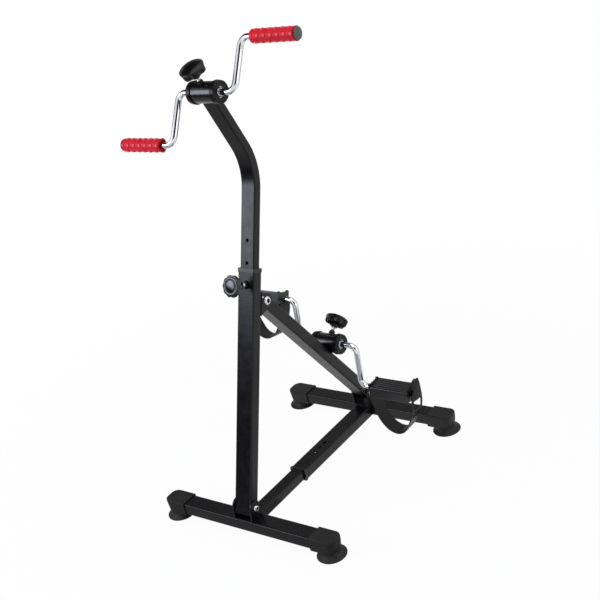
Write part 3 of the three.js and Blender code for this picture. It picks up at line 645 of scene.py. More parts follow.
for name, grip in bolt_grips.items():
    place = bolt_place(name)
    outward = Matrix.Translation((grip / 2, 0, 0)) @ along_x
    inward = Matrix.Translation((-grip / 2 - bolt_gap, 0, 0)) @ Matrix.Rotation(-math.pi / 2, 4, "Y")
    bolt = make(f"pivot_bolt_{name}", bolt_shape(grip, bolt_heads[name]), bright_zinc, place @ outward)
    # The faces inside the socket take the dark zinc as painted shade in the recess.
    bolt.data.materials.append(socket_shade_zinc)
    socket = bolt_heads[name] * bolt_socket_share * bolt_inside_share
    for face in bolt.data.polygons:
        spot = place.inverted() @ face.center
        if spot.x > grip / 2 and math.hypot(spot.y, spot.z) < socket:
            face.material_index = 1
    nut_form = nut_shape(bolt_nut_across, bolt_nut_height, bolt_radius + bolt_gap / 2)
    nut = make(f"pivot_nut_{name}", nut_form, bright_zinc, place @ inward)
    for piece, node in ((bolt, f"{name}_bolt"), (nut, f"{name}_nut")):
        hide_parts(node)
        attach(piece, bolt_bodies[name])

# Hinge rivet. A small dome-headed rivet of zinc-plated steel, set in the bracket's right plate
# beside the hinge bolt. Its foot lies inside the plate.
rivet_profile = [
    (-0.001, 0.0002), (-0.001, 0.0022), (0.0004, 0.0022),
    (0.0010, 0.0019), (0.0014, 0.0012), (0.0016, 0.0002),
]
rivet_offset = (-0.0085, 0.0125)
small_steps = 32
hinge_plate_face = max(corner.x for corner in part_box("hinge_bracket"))
rivet_place = bolt_place("hinge") @ Matrix.Translation((hinge_plate_face, *rivet_offset)) @ along_x
rivet_form = skin([circle(radius, x, small_steps) for x, radius in rivet_profile])
rivet = make("hinge_rivet", rivet_form, bright_zinc, rivet_place)
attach(rivet, "post")

# Base strut. A smaller rectangular tube slides in a larger one; a sprung steel button in the
# inner tube snaps into one of the holes, and a plastic collar lines the outer tube's mouth.
button_edge = 0.0004
collar_edge = 0.0007
plastic_patch = 0.012
plastic_grain = 0.0004


def moulded_plastic(name, dark, light, gloss, smooth, rough, grain_depth):
    finish, tree, shader = start_finish(name)
    tree.links.new(patches(tree, dark, light, plastic_patch), shader.inputs["Base Color"])
    sheen(tree, shader, smooth, rough, plastic_patch / 2, 4)
    shader.inputs["Specular IOR Level"].default_value = gloss
    grain(tree, shader, plastic_grain, grain_depth)
    return finish


satin_plastic = moulded_plastic(
    "satin_plastic", dark=(14, 14, 15), light=(25, 25, 27),
    gloss=0.45, smooth=0.28, rough=0.4, grain_depth=0.000008,
)
dress("strut_inner_tube", black_paint, tube_edge)
dress("strut_outer_tube", black_paint, tube_edge)
dress("strut_collar", satin_plastic, collar_edge)
dress("strut_button", bright_zinc, button_edge)
dress("strut_button_spring", bright_zinc)

# Post. The upright outer tube, with a plastic collar pressed into its mouth, on which the
# mast slides, and a hexagon boss welded over the clamp screw's hole.
dress("post_tube", black_paint, tube_edge)
dress("post_collar", satin_plastic, collar_edge)
dress("post_knob_boss", black_paint, tube_edge)

# Mast. The inner tube of the telescope, bent forward near its top. The bending has drawn the
# inner face of the bend in a little. Height holes run up its front; a plug closes its foot.
mast_foot = Vector(joints["post_pivot"]["pos_m"])
mast_axis = Vector(joints["mast_slide"]["axis"])
mast_width = 0.038
mast_depth = 0.020
mast_corner = 0.0035
mast_wall = 0.0015
mast_low = 0.2898
mast_vertex = 0.7323
mast_arm = 0.196
mast_bend = math.radians(45)
mast_tip = Vector((0, -mast_arm * math.sin(mast_bend), mast_vertex + mast_arm * math.cos(mast_bend)))
mast_bend_radius = 0.130
mast_bend_steps = 28
mast_dent = 0.0011
mast_hole_radius = 0.004
mast_hole_edge = 0.0004
mast_hole_low = 0.4308
mast_hole_pitch = 0.0475
mast_hole_count = 4
mast_drill_from = 0.002
mast_drill_to = 0.03
hub_radius = 0.022
saddle_gap = 0.0003
fine_steps = 64


def rounded_section(width, depth, corner, steps=4):
    x, y = width / 2 - corner, depth / 2 - corner
    section = []
    for cx, cy, start in ((x, -y, -90), (x, y, 0), (-x, y, 90), (-x, -y, 180)):
        section += arc((cx, cy), corner, start, start + 90, steps)
        section += arc((cx, cy), corner, start + 90, start + 90, 1)
    return section


def post_frame(place):
    across = Vector((1, 0, 0))
    up = mast_axis.normalized()
    back = up.cross(across)
    turn = Matrix((across, back, up)).transposed().to_4x4()
    return Matrix.Translation(place) @ turn


def bent_line(corners, radius, steps):
    stations = [(corners[0], (corners[1] - corners[0]).normalized(), 0.0)]
    for before, corner, after in zip(corners, corners[1:], corners[2:]):
        inward = (corner - before).normalized()
        outward = (after - corner).normalized()
        turn = inward.angle(outward)
        setback = radius * math.tan(turn / 2)
        start = corner - inward * setback
        side = (outward - inward * inward.dot(outward)).normalized()
        for i in range(steps + 1):
            part = turn * i / steps
            point = start + inward * radius * math.sin(part) + side * radius * (1 - math.cos(part))
            ahead = inward * math.cos(part) + side * math.sin(part)
            stations.append((point, ahead, math.sin(math.pi * i / steps)))
    stations.append((corners[-1], (corners[-1] - corners[-2]).normalized(), 0.0))
    return stations


def mast_rings(width, depth, corner):
    corners = [Vector((0, 0, mast_low)), Vector((0, 0, mast_vertex)), mast_tip]
    rings = []
    for point, ahead, bend_share in bent_line(corners, mast_bend_radius, mast_bend_steps):
        across = Vector((1, 0, 0))
        back = ahead.cross(across)
        ring = []
        for x, y in rounded_section(width, depth, corner):
            hollow = mast_dent * bend_share * max(0.0, 1 - (2 * x / width) ** 2) if y < 0 else 0
            ring.append(tuple(point + across * x + back * (y + hollow)))
        rings.append(ring)
    return rings


def mast_piece():
    outer = mast_rings(mast_width, mast_depth, mast_corner)
    inner = mast_rings(mast_width - 2 * mast_wall, mast_depth - 2 * mast_wall, mast_corner - mast_wall)
    mast = make("mast", skin(outer + inner[::-1], closed=True), black_paint)
    saddle = skin([circle(hub_radius + saddle_gap, x, fine_steps) for x in (-mast_width, mast_width)])
    work(mast, make("mast_saddle", saddle, black_paint, Matrix.Translation(mast_tip) @ along_x), "DIFFERENCE")
    for i in range(mast_hole_count):
        drill = skin([circle(mast_hole_radius, z, small_steps) for z in (mast_drill_from, mast_drill_to)])
        height = mast_hole_low + mast_hole_pitch * i
        turn = Matrix.Translation((0, 0, height)) @ Matrix.Rotation(math.pi / 2, 4, "X")
        work(mast, make("mast_drill", drill, black_paint, turn), "DIFFERENCE")
    mast.data.transform(post_frame(mast_foot))
    return round_edges(mast, mast_hole_edge)


mast = mast_piece()
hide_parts("mast_tube")
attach(mast, "mast")
dress("mast_plug", satin_plastic)

# Incline tube. It hangs from the hinge on the post and runs down to the rear foot, and carries
# the leg crank's hub on its upper face.
dress("incline_tube", black_paint, tube_edge)

# Crank hubs. Each is a steel tube enamelled gloss black and welded across the end of its arm,
# with a black plastic cap pressed over each end and a sealed ball bearing in each cap.
hub_bodies = {"arm": "mast", "leg": "incline"}
hub_length = 0.077
hub_shift = 0.0015
hub_wall = 0.0025
hub_cap_radius = 0.0242
hub_cap_length = 0.012
hub_cap_face = 0.004
hub_gap = 0.0003
bearing_radius = 0.0115
bearing_width = 0.009
bearing_race = 0.0013
bearing_chamfer = 0.0003
seal_dish = 0.0008
seal_lip = 0.0008
rod_radius = 0.0068
enamel_dark = (9, 9, 11)
enamel_light = (16, 16, 19)
enamel_patch = 0.02
enamel_smooth = 0.2
enamel_rough = 0.28
enamel_gloss = 0.5
enamel_ripple = 0.003
enamel_ripple_depth = 0.000004
hub_steps = 96
hub_cap_lip = 0.003
hub_cap_edge = 0.0003
hub_cap_waist = 0.0007
hub_cap_face_steps = [
    (0.0026, 0.0008), (0.0012, 0.0011), (0.0003, 0.0019), (0.0, 0.0030), (0.0, 0.0052), (0.0012, 0.0060),
]
hub_cap_seat_steps = [(0.0012, 0.0032), (0.0004, 0.0026), (0.0002, 0.0010), (0.0006, hub_gap)]


def enamel(name):
    finish, tree, shader = start_finish(name)
    body = patches(tree, enamel_dark, enamel_light, enamel_patch)
    tree.links.new(body, shader.inputs["Base Color"])
    sheen(tree, shader, enamel_smooth, enamel_rough, enamel_patch * 0.4, 4)
    shader.inputs["Specular IOR Level"].default_value = enamel_gloss
    grain(tree, shader, enamel_ripple, enamel_ripple_depth)
    return finish


gloss_enamel = enamel("gloss_enamel")
cap_plastic = moulded_plastic(
    "cap_plastic", dark=(8, 8, 9), light=(14, 14, 15),
    gloss=0.2, smooth=0.22, rough=0.32, grain_depth=0.000004,
)
seal_rubber = moulded_rubber(
    "seal_rubber", dark=(16, 17, 17), light=(24, 25, 25), dust=(32, 33, 33),
    gloss=0.3, smooth=0.4, rough=0.55,
)


def turned_ring(profile, steps=hub_steps):
    return skin([circle(radius, x, steps) for x, radius in profile], closed=True)


def hub_place(hub):
    return Matrix.Translation(joints[f"{hub}_crank_turn"]["pos_m"])


def shell_profile():
    half = hub_length / 2 - hub_cap_face - hub_gap
    inner = hub_radius - hub_wall
    return [(-half, inner), (-half, hub_radius), (half, hub_radius), (half, inner)]


def cap_profile():
    bore = bearing_radius + hub_gap
    start = hub_length / 2 - hub_cap_length
    groove = hub_length / 2 - hub_cap_face
    face = hub_length / 2
    inner = hub_radius - hub_wall - hub_gap
    outer = hub_radius + hub_gap / 2
    rim = start + hub_cap_lip
    profile = [(start, bore), (start, inner), (groove, inner), (groove, outer), (start, outer)]
    profile += [(start, hub_cap_radius - hub_cap_edge), (start + hub_cap_edge, hub_cap_radius)]
    profile += [(rim - hub_cap_edge, hub_cap_radius), (rim, hub_cap_radius - hub_cap_waist)]
    profile += [(face - back, hub_cap_radius - drop) for back, drop in hub_cap_face_steps]
    profile += [(face - back, bearing_radius + rise) for back, rise in hub_cap_seat_steps]
    return profile


def bearing_profiles():
    low = hub_length / 2 - hub_cap_length + hub_gap
    high = low + bearing_width
    outer = bearing_radius - bearing_race
    inner = rod_radius + hub_gap + bearing_race
    races = []
    edge = high - bearing_chamfer
    for first, second in ((outer, bearing_radius), (rod_radius + hub_gap / 2, inner)):
        races.append([
            (low, first), (low, second), (edge, second), (high, second - bearing_chamfer),
            (high, first + bearing_chamfer), (edge, first),
        ])
    back, front = low + seal_dish, high - seal_dish
    seal = [(back, inner), (back, outer), (front, outer)]
    seal += [(front - bearing_chamfer, inner + seal_lip), (front, inner)]
    return races, seal


for hub, body in hub_bodies.items():
    middle = hub_place(hub) @ Matrix.Translation((hub_shift, 0, 0))
    shell = make(f"{hub}_shell", turned_ring(shell_profile()), gloss_enamel, middle @ along_x)
    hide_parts(f"{hub}_hub_shell")
    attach(shell, body)
    for side, turn in (("right", 0), ("left", math.pi)):
        place = middle @ Matrix.Rotation(turn, 4, "Z") @ along_x
        cap = make(f"{hub}_cap_{side}", turned_ring(cap_profile()), cap_plastic, place)
        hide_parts(f"{hub}_hub_cap_{side}")
        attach(cap, body)
        races, seal_profile = bearing_profiles()
        outer_race = make(f"{hub}_outer_race_{side}", turned_ring(races[0], fine_steps), bright_zinc, place)
        inner_race = make(f"{hub}_inner_race_{side}", turned_ring(races[1], fine_steps), bright_zinc, place)
        seal = make(f"{hub}_seal_{side}", turned_ring(seal_profile, fine_steps), seal_rubber, place)
        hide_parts(f"{hub}_bearing_{side}")
        for piece, slot in ((outer_race, "zinc"), (inner_race, "zinc"), (seal, "black_rubber")):
            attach(piece, body)
    dress(f"{hub}_brake_shoe", satin_plastic)

# Tension screws and knobs. A zinc-plated screw with a real thread runs through a black lock nut
# into the hub, and a moulded star knob with scalloped sides and a hollow back turns it.
knob_radius = 0.027
knob_lobes = 6
knob_scallop = 0.0046
knob_turn = math.radians(20)
knob_middle = 0.0595
knob_thickness = 0.015
knob_dome = 0.0062
knob_drop = 0.0042
knob_point = 0.0006
knob_top_shares = [
    (0.25, 0.05), (0.45, 0.16), (0.62, 0.31), (0.78, 0.52), (0.9, 0.75), (0.96, 0.92), (0.99, 1.06),
]
knob_side = [
    (0.0, -0.0018, 0.15), (0.0, -0.0036, 0.6), (0.0003, -0.0058, 1.0), (0.0006, -0.01125, 1.0),
    (0.0016, -0.0138, 1.0), (0.0030, -0.0150, 1.0), (0.0050, -0.0150, 1.0), (0.0058, -0.01395, 1.0),
]
knob_hollow = 0.0072
knob_hollow_depth = 0.0090
knob_hollow_sway = -0.0015
knob_stem_radius = 0.009
knob_stem_length = 0.008
knob_stem_root = 0.0105
knob_stem_shares = (1.15, 0.86, 0.78)
stem_edge = 0.0008
screw_seat = 0.0002
screw_pocket = 0.004
screw_overlap = 0.002
thread_radius = 0.004
thread_pitch = 0.00125
thread_depth = 0.00055
thread_rings = 5
thread_steps = 20
lock_nut_height = 0.009
lock_nut_across = 0.013
lobe_steps = 12
lobe_sharpness = 1.4
gloss_plastic = moulded_plastic(
    "gloss_plastic", dark=(7, 7, 8), light=(13, 13, 15),
    gloss=0.24, smooth=0.16, rough=0.26, grain_depth=0.000003,
)


def threaded_rod(low, high):
    count = int((high - low) / thread_pitch * thread_rings)
    rings = []
    for i in range(count + 1):
        height = low + (high - low) * i / count
        ring = []
        for j in range(thread_steps):
            share = (height / thread_pitch - j / thread_steps) % 1
            reach = thread_radius - thread_depth * abs(2 * share - 1)
            turn = 2 * math.pi * j / thread_steps
            ring.append((reach * math.cos(turn), reach * math.sin(turn), height))
        rings.append(ring)
    return skin(rings)


def lobed(radius, height, depth, lobes, sway=0.0):
    steps = lobes * lobe_steps
    ring = []
    for i in range(steps):
        turn = 2 * math.pi * i / steps
        dip = (0.5 - 0.5 * math.cos(lobes * turn)) ** lobe_sharpness
        reach = radius - depth * dip
        ring.append((reach * math.cos(turn), reach * math.sin(turn), height + sway * dip))
    return ring


def screw_hole(end, lobes):
    bore = thread_radius + screw_seat
    return [lobed(bore, end, 0, lobes), lobed(bore, end + screw_pocket, 0, lobes)]


def star_knob():
    rings = [lobed(knob_point, knob_dome, 0, knob_lobes)]
    for wide, fall in knob_top_shares:
        rings.append(lobed(knob_radius * wide, knob_dome * (1 - fall), 0, knob_lobes))
    for inset, height, share in knob_side:
        rings.append(lobed(knob_radius - inset, height, knob_scallop * share, knob_lobes))
    root, waist, tail = (knob_stem_radius * share for share in knob_stem_shares)
    hollow = knob_radius - knob_hollow
    rings.append(lobed(hollow, -knob_hollow_depth, knob_scallop, knob_lobes, knob_hollow_sway))
    rings.append(lobed(root, -knob_hollow_depth, 0, knob_lobes, knob_hollow_sway))
    rings.append(lobed(knob_stem_radius, -knob_stem_root, 0, knob_lobes))
    end = -knob_thickness - knob_stem_length
    rings += [lobed(waist, end + stem_edge, 0, knob_lobes), lobed(tail, end, 0, knob_lobes)]
    return skin((rings + screw_hole(end, knob_lobes))[::-1])


def knob_frame(hub):
    along = Vector(joints[f"{hub}_knob_turn"]["axis"]).normalized()
    across = Vector((1, 0, 0))
    turn = Matrix((across, along.cross(across), along)).transposed().to_4x4()
    return Matrix.Translation(joints[f"{hub}_knob_turn"]["pos_m"]) @ turn


for hub, body in hub_bodies.items():
    place = knob_frame(hub)
    head = knob_middle + knob_thickness / 2
    knob_place = place @ Matrix.Translation((0, 0, head - knob_drop)) @ Matrix.Rotation(knob_turn, 4, "Z")
    knob = make(f"{hub}_knob", star_knob(), gloss_plastic, knob_place)
    screw_low = hub_radius - hub_wall + 2 * hub_gap
    screw_high = head - knob_thickness - knob_stem_length + screw_overlap
    screw = make(f"{hub}_screw", threaded_rod(screw_low, screw_high), bright_zinc, place)
    for piece, node, slot in (
        (knob, f"{hub}_tension_knob", "black_plastic"),
        (screw, f"{hub}_tension_screw", "zinc"),
    ):
        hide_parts(node)
        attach(piece, f"{hub}_tension")
    nut_form = nut_shape(lock_nut_across, lock_nut_height, thread_radius + hub_gap / 2)
    nut = make(f"{hub}_nut", nut_form, black_paint, place @ Matrix.Translation((0, 0, hub_radius + hub_gap)))
    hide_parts(f"{hub}_lock_nut")
    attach(nut, body)

# Post knob. The same kind of knob, on the clamp screw in the post's front, with ten scallops
# and a plain glossy dome set in a ring on its face.
post_knob_radius = 0.024
post_knob_lobes = 10
post_knob_thickness = 0.014
post_knob_stem = 0.020
post_knob_stem_radius = 0.011
post_knob_reach = 0.0625
post_knob_height = 0.4798
post_knob_scallop = 0.0018
post_knob_face = [
    (0.0005, 0.0), (0.003, -0.00004), (0.006, -0.00018), (0.009, -0.00042), (0.0115, -0.0007),
    (0.0134, -0.0011), (0.0141, -0.0016), (0.0145, -0.0016), (0.0150, -0.0008), (0.0158, -0.0006),
    (0.0180, -0.0007), (0.0196, -0.0010), (0.0206, -0.0019), (0.0210, -0.0028),
]
post_knob_side = [
    (0.0014, -0.0030, 0.5), (0.0005, -0.0036, 0.9), (0.0, -0.0048, 1.0), (0.0, -0.0065, 1.0),
    (0.0003, -0.0105, 1.0), (0.0014, -0.0128, 1.0), (0.0034, -post_knob_thickness, 1.0),
]
post_knob_neck = [(1.12, -0.0150), (1.0, -0.0162)]
post_knob_stem_shares = (0.80, 0.7)
post_knob_stem_edge = 0.001
clamp_screw_from = 0.011
clamp_screw_to = 0.0305
bright_plastic = moulded_plastic(
    "bright_plastic", dark=(12, 13, 17), light=(20, 21, 26),
    gloss=0.6, smooth=0.14, rough=0.22, grain_depth=0.000002,
)


def face_knob():
    rings = [lobed(reach, height, 0, post_knob_lobes) for reach, height in post_knob_face]
    for inset, height, share in post_knob_side:
        rings.append(lobed(post_knob_radius - inset, height, post_knob_scallop * share, post_knob_lobes))
    for share, height in post_knob_neck:
        rings.append(lobed(post_knob_stem_radius * share, height, 0, post_knob_lobes))
    end = -post_knob_thickness - post_knob_stem
    waist, tail = (post_knob_stem_radius * share for share in post_knob_stem_shares)
    rings.append(lobed(waist, end + post_knob_stem_edge, 0, post_knob_lobes))
    rings.append(lobed(tail, end, 0, post_knob_lobes))
    return skin((rings + screw_hole(end, post_knob_lobes))[::-1])


clamp_height = Matrix.Translation((0, 0, post_knob_height))
clamp_place = post_frame(mast_foot) @ clamp_height @ Matrix.Rotation(math.pi / 2, 4, "X")
post_knob_place = clamp_place @ Matrix.Translation((0, 0, post_knob_reach))
post_knob = make("clamp_knob", face_knob(), bright_plastic, post_knob_place)
clamp_screw = make("clamp_screw", threaded_rod(clamp_screw_from, clamp_screw_to), bright_zinc, clamp_place)
for piece, node, slot in (
    (post_knob, "post_knob", "black_plastic"),
    (clamp_screw, "post_knob_screw", "zinc"),
):
    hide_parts(node)
    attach(piece, "post_clamp")

# Cranks. Each is one chromed steel rod, bent up on one side of its hub and down on the other, so
# that its two ends lie opposite each other. The chrome is almost a mirror.
rod_bend_radius = 0.018
rod_bend_steps = 14
rod_steps = 40
crank_sizes = {
    "arm": {"throw": 0.1065, "angle": math.radians(57.8), "rod_place": 0.074, "reach": 0.2133},
    "leg": {"throw": 0.097, "angle": math.radians(-97), "rod_place": 0.0795, "reach": 0.217},
}
chrome = plated_steel(
    "chrome", dark=(206, 208, 212), light=(226, 228, 232), smooth=0.03, rough=0.06, depth=0.0000001,
)


def crank_rod(throw, angle, rod_place, reach):
    corners = [(-reach, -throw), (-rod_place, -throw), (-rod_place, 0)]
    corners += [(rod_place, 0), (rod_place, throw), (reach, throw)]
    line = [Vector((x, r * math.cos(angle), r * math.sin(angle))) for x, r in corners]
    flat = Vector((0, -math.sin(angle), math.cos(angle)))
    rings = []
    for point, ahead, _ in bent_line(line, rod_bend_radius, rod_bend_steps):
        side = ahead.cross(flat)
        turns = [2 * math.pi * i / rod_steps for i in range(rod_steps)]
        rings.append([tuple(point + (flat * math.cos(t) + side * math.sin(t)) * rod_radius) for t in turns])
    return skin(rings)


for hub, sizes in crank_sizes.items():
    crank = make(f"{hub}_rod", crank_rod(**sizes), chrome, hub_place(hub))
    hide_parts(f"{hub}_crank")
    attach(crank, f"{hub}_crank_unit")

# Massage grips. Soft red vinyl sleeves, moulded with rows of round pimples, slid over the crank
# ends; the mouth is hollow round the rod, and a domed grey plug closes the outer end. The tips of
# the pimples carry a painted highlight, a paler pink.
grip_start = 0.104
grip_length = 0.107
grip_radius = 0.0139
pimple_height = 0.0023
pimple_radius = 0.0052
pimple_rings = 13
pimple_rows = 6
grip_end_round = 0.0008
grip_mouth = 0.0112
grip_mouth_depth = 0.005
grip_bore = 0.0071
grip_steps = 128
grip_rings = 150
vinyl_dark = (200, 12, 34)
vinyl_light = (224, 22, 45)
# Pale pink of the painted highlight on the pimple tips.
vinyl_tip_highlight = (255, 118, 134)
vinyl_tip_highlight_share = 0.75
vinyl_tip_highlight_from = 0.5
vinyl_tip_highlight_to = 0.95
vinyl_patch = 0.01
vinyl_smooth = 0.42
vinyl_rough = 0.5
vinyl_gloss = 0.25
vinyl_glow = 0.08
vinyl_glow_depth = 0.002
vinyl_grain = 0.0005
vinyl_grain_depth = 0.000006


def soft_vinyl(name):
    finish, tree, shader = start_finish(name)
    body = patches(tree, vinyl_dark, vinyl_light, vinyl_patch)
    # Painted highlight: the pimple tips are mixed towards pale pink, the more the higher they stand.
    highlight_tips = tree.nodes.new("ShaderNodeAttribute")
    highlight_tips.attribute_name = "pimple_highlight"
    highlight_share = spread(tree, highlight_tips.outputs["Fac"], 0.0, vinyl_tip_highlight_share, vinyl_tip_highlight_from, vinyl_tip_highlight_to)
    tree.links.new(between(tree, highlight_share, body, vinyl_tip_highlight), shader.inputs["Base Color"])
    sheen(tree, shader, vinyl_smooth, vinyl_rough, vinyl_patch * 0.4, 4)
    shader.inputs["Specular IOR Level"].default_value = vinyl_gloss
    shader.inputs["Subsurface Weight"].default_value = vinyl_glow
    shader.inputs["Subsurface Scale"].default_value = vinyl_glow_depth
    grain(tree, shader, vinyl_grain, vinyl_grain_depth)
    return finish


red_vinyl = soft_vinyl("red_vinyl")


def grip_reach(x, turn):
    rise = 0.0
    row = 2 * math.pi / pimple_rows
    pitch = grip_length / pimple_rings
    here = x / pitch - 0.5
    turned = turn / row
    for i in (math.floor(here), math.floor(here) + 1):
        for k in (math.floor(turned), math.floor(turned) + 1):
            if (k + i) % 2 or not 0 <= i < pimple_rings:
                continue
            far = math.hypot((here - i) * pitch, (turned - k) * row * grip_radius) / pimple_radius
            if far < 1:
                rise = max(rise, 1 - far * far)
    return grip_radius + pimple_height * rise


def massage_grip():
    turns = [2 * math.pi * j / grip_steps for j in range(grip_steps)]

    def ring(x, reaches):
        return [(x, reach * math.cos(turn), reach * math.sin(turn)) for reach, turn in zip(reaches, turns)]

    end = grip_end_round
    rings = [ring(0.0, [grip_radius - end] * grip_steps), ring(end, [grip_radius] * grip_steps)]
    for i in range(1, grip_rings):
        x = end + (grip_length - 2 * end) * i / grip_rings
        rings.append(ring(x, [grip_reach(x, turn) for turn in turns]))
    inside = [(grip_length - end, grip_radius), (grip_length, grip_radius - end), (grip_length, grip_bore)]
    inside += [(grip_mouth_depth, grip_bore), (grip_mouth_depth, grip_mouth), (0.0, grip_mouth)]
    rings += [ring(x, [reach] * grip_steps) for x, reach in inside]
    return skin(rings, closed=True)


plug_profile = [
    (0.0, 0.0004), (0.0, 0.0110), (0.0014, 0.0110), (0.0015, 0.0128), (0.0018, 0.0131),
    (0.0022, 0.0130), (0.0028, 0.0127), (0.0034, 0.0121), (0.0040, 0.0112), (0.0045, 0.0099),
    (0.0049, 0.0081), (0.0052, 0.0059), (0.0054, 0.0034), (0.0055, 0.0005),
]
grey_plastic = moulded_plastic(
    "grey_plastic", dark=(58, 66, 62), light=(76, 84, 80),
    gloss=0.6, smooth=0.2, rough=0.3, grain_depth=0.000004,
)
grip_sides = (("right", 0, math.radians(164)), ("left", math.pi, math.radians(20)))
for side, turn, grip_turn in grip_sides:
    spindle = Vector(joints[f"{side}_grip_turn"]["pos_m"])
    place = Matrix.Translation((0, spindle.y, spindle.z)) @ Matrix.Rotation(turn, 4, "Z")
    grip_place = place @ Matrix.Translation((grip_start, 0, 0)) @ Matrix.Rotation(grip_turn, 4, "X")
    grip = make(f"grip_{side}", massage_grip(), red_vinyl, grip_place)
    # Mask for the painted highlight: how far each point stands out over the sleeve.
    highlight_mask = grip.data.attributes.new("pimple_highlight", "FLOAT", "POINT")
    for vertex in grip.data.vertices:
        reach = math.hypot(vertex.co.y - spindle.y, vertex.co.z - spindle.z)
        highlight_mask.data[vertex.index].value = max(0.0, (reach - grip_radius) / pimple_height)
    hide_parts(f"arm_grip_{side}")
    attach(grip, f"{side}_grip")
    plug_form = skin([circle(radius, x, fine_steps) for x, radius in plug_profile])
    plug_place = place @ Matrix.Translation((grip_start + grip_length + 2 * hub_gap, 0, 0)) @ along_x
    plug = make(f"grip_plug_{side}", plug_form, grey_plastic, plug_place)
    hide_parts(f"arm_grip_plug_{side}")
    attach(plug, "arm_crank_unit")

# Pedals. Each is one black plastic moulding that turns on the crank's end: a ribbed tread between
# an inner wall with two round ears and an outer plate, whose pointed tip holds the strap.
pedal_bodies = {"right": "right_pedal", "left": "left_pedal"}
pedal_tilts = {"right": 0, "left": math.radians(-22)}
pedal_inner = 0.113
pedal_outer = 0.217
pedal_half = 0.020
pedal_wall = 0.0045
pedal_top = 0.0195
pedal_bottom = -0.016
pedal_ear = 0.0045
pedal_ear_dip = 0.0025
tread_low = -0.015
tread_front = 0.012
tread_back = 0.0165
tread_grooves = 6
tread_groove_depth = 0.0013
tread_corner = 0.0022
pedal_bore = 0.0071
pedal_bore_overrun = 0.01
pedal_edge = 0.0005
end_plate_outline = [
    (-0.0120, -0.0146), (-0.0055, -0.0118), (0.0, -0.0130), (0.0050, -0.0122), (0.0100, -0.0156),
    (0.0190, -0.0117), (0.0220, 0.0), (0.0210, 0.0146), (0.0180, 0.0253), (0.0155, 0.0318),
    (0.0110, 0.0262), (-0.0020, 0.0236), (-0.0150, 0.0205), (-0.0210, 0.0058), (-0.0200, -0.0068),
]
plate_tip = max(z for y, z in end_plate_outline)
plate_corner = 0.003
plate_lean = 0.006
plate_lean_from = 0.020
plate_lean_curve = 1.4
plate_slot_place = 0.0112
plate_slot_half = 0.0014
plate_slot_low = -0.003
plate_slot_high = 0.011
plate_slot_depth = 0.003
wall_corner = 0.004
wall_corner_points = 6
wall_ear_foot = 0.001
wall_ear_step = 0.0005
tread_side_gap = 0.0004
tread_overlap = 0.002
tread_nose = 0.0024
tread_nose_rise = 0.0003
tread_nose_reach = 0.0002
tread_groove_steps = ((1.1, 0), (0.6, 1), (-0.6, 1), (-1.1, 0))
pocket_near = 0.0095
pocket_far = 0.0172
pocket_top = 0.007
pocket_spans = ((0.122, 0.148), (0.151, 0.179), (0.182, 0.209))
pedal_overrun = 0.002
edge_steps = ((0.0, 1.0), (0.3, 0.3), (1.0, 0.0))
pedal_plastic = moulded_plastic(
    "pedal_plastic", dark=(12, 12, 13), light=(21, 21, 23),
    gloss=0.45, smooth=0.3, rough=0.4, grain_depth=0.000008,
)
pedal_cap_profile = [
    (0.2173, 0.0072), (0.2173, 0.0078), (0.2178, 0.0080), (0.2188, 0.0078),
    (0.2196, 0.0068), (0.2198, 0.0040), (0.2196, 0.0034), (0.2194, 0.0005),
]


def rounded(corners, radius, steps=5):
    outline = []
    for i, corner in enumerate(corners):
        here = Vector(corner)
        before = Vector(corners[i - 1])
        after = Vector(corners[(i + 1) % len(corners)])
        first = here + (before - here) * min(0.45, radius / (before - here).length)
        last = here + (after - here) * min(0.45, radius / (after - here).length)
        for k in range(steps + 1):
            share = k / steps
            outline.append(tuple(first.lerp(here, share).lerp(here.lerp(last, share), share)))
    return outline


def across(outline, low, high):
    middle = sum((Vector(point) for point in outline), Vector((0, 0))) / len(outline)
    levels = [(low + pedal_edge * step, pedal_edge * inset) for step, inset in edge_steps]
    levels += [(high - pedal_edge * step, pedal_edge * inset) for step, inset in edge_steps[::-1]]
    rings = []
    for x, inset in levels:
        ring = []
        for y, z in outline:
            out = Vector((y, z)) - middle
            ring.append((x, y - out.normalized().x * inset, z - out.normalized().y * inset))
        rings.append(ring)
    return skin(rings)


def wall_outline():
    high = pedal_top - pedal_ear
    reach = pedal_half - pedal_ear
    saddle = pedal_top - pedal_ear_dip - wall_ear_step
    inner = reach - pedal_ear
    base = [(-pedal_half, high), (-pedal_half, pedal_bottom), (pedal_half, pedal_bottom), (pedal_half, high)]
    outline = rounded(base, wall_corner)[wall_corner_points:-wall_corner_points]
    outline += [(reach + y, high + z) for y, z in arc((0, 0), pedal_ear, 0, 180, 10)]
    outline += [(inner, high), (inner - wall_ear_foot, saddle)]
    outline += [(wall_ear_foot - inner, saddle), (-inner, high)]
    outline += [(-reach + y, high + z) for y, z in arc((0, 0), pedal_ear, 0, 180, 10)]
    return outline


def tread_outline():
    inside = pedal_half - tread_side_gap
    corners = [(-inside, tread_low), (inside, tread_low), (inside, tread_back)]
    pitch = 2 * inside / tread_grooves
    for i in range(tread_grooves - 1, 0, -1):
        y = -inside + pitch * i
        top = tread_front + (tread_back - tread_front) * (y + inside) / (2 * inside)
        for step, drop in tread_groove_steps:
            corners.append((y + step * tread_groove_depth, top - drop * tread_groove_depth))
    corners.append((-inside + tread_nose, tread_front + tread_nose_rise))
    corners.append((-inside - tread_nose_reach, tread_front - tread_nose))
    return rounded(corners, tread_corner, 3)


def lean_tip(shape):
    points, faces = shape
    leaned = []
    for x, y, z in points:
        share = max(0.0, (z - plate_lean_from) / (plate_tip - plate_lean_from))
        leaned.append((x + plate_lean * share ** plate_lean_curve, y, z))
    return leaned, faces


def together(shapes):
    points, faces = [], []
    for some_points, some_faces in shapes:
        faces += [tuple(corner + len(points) for corner in face) for face in some_faces]
        points += some_points
    return points, faces


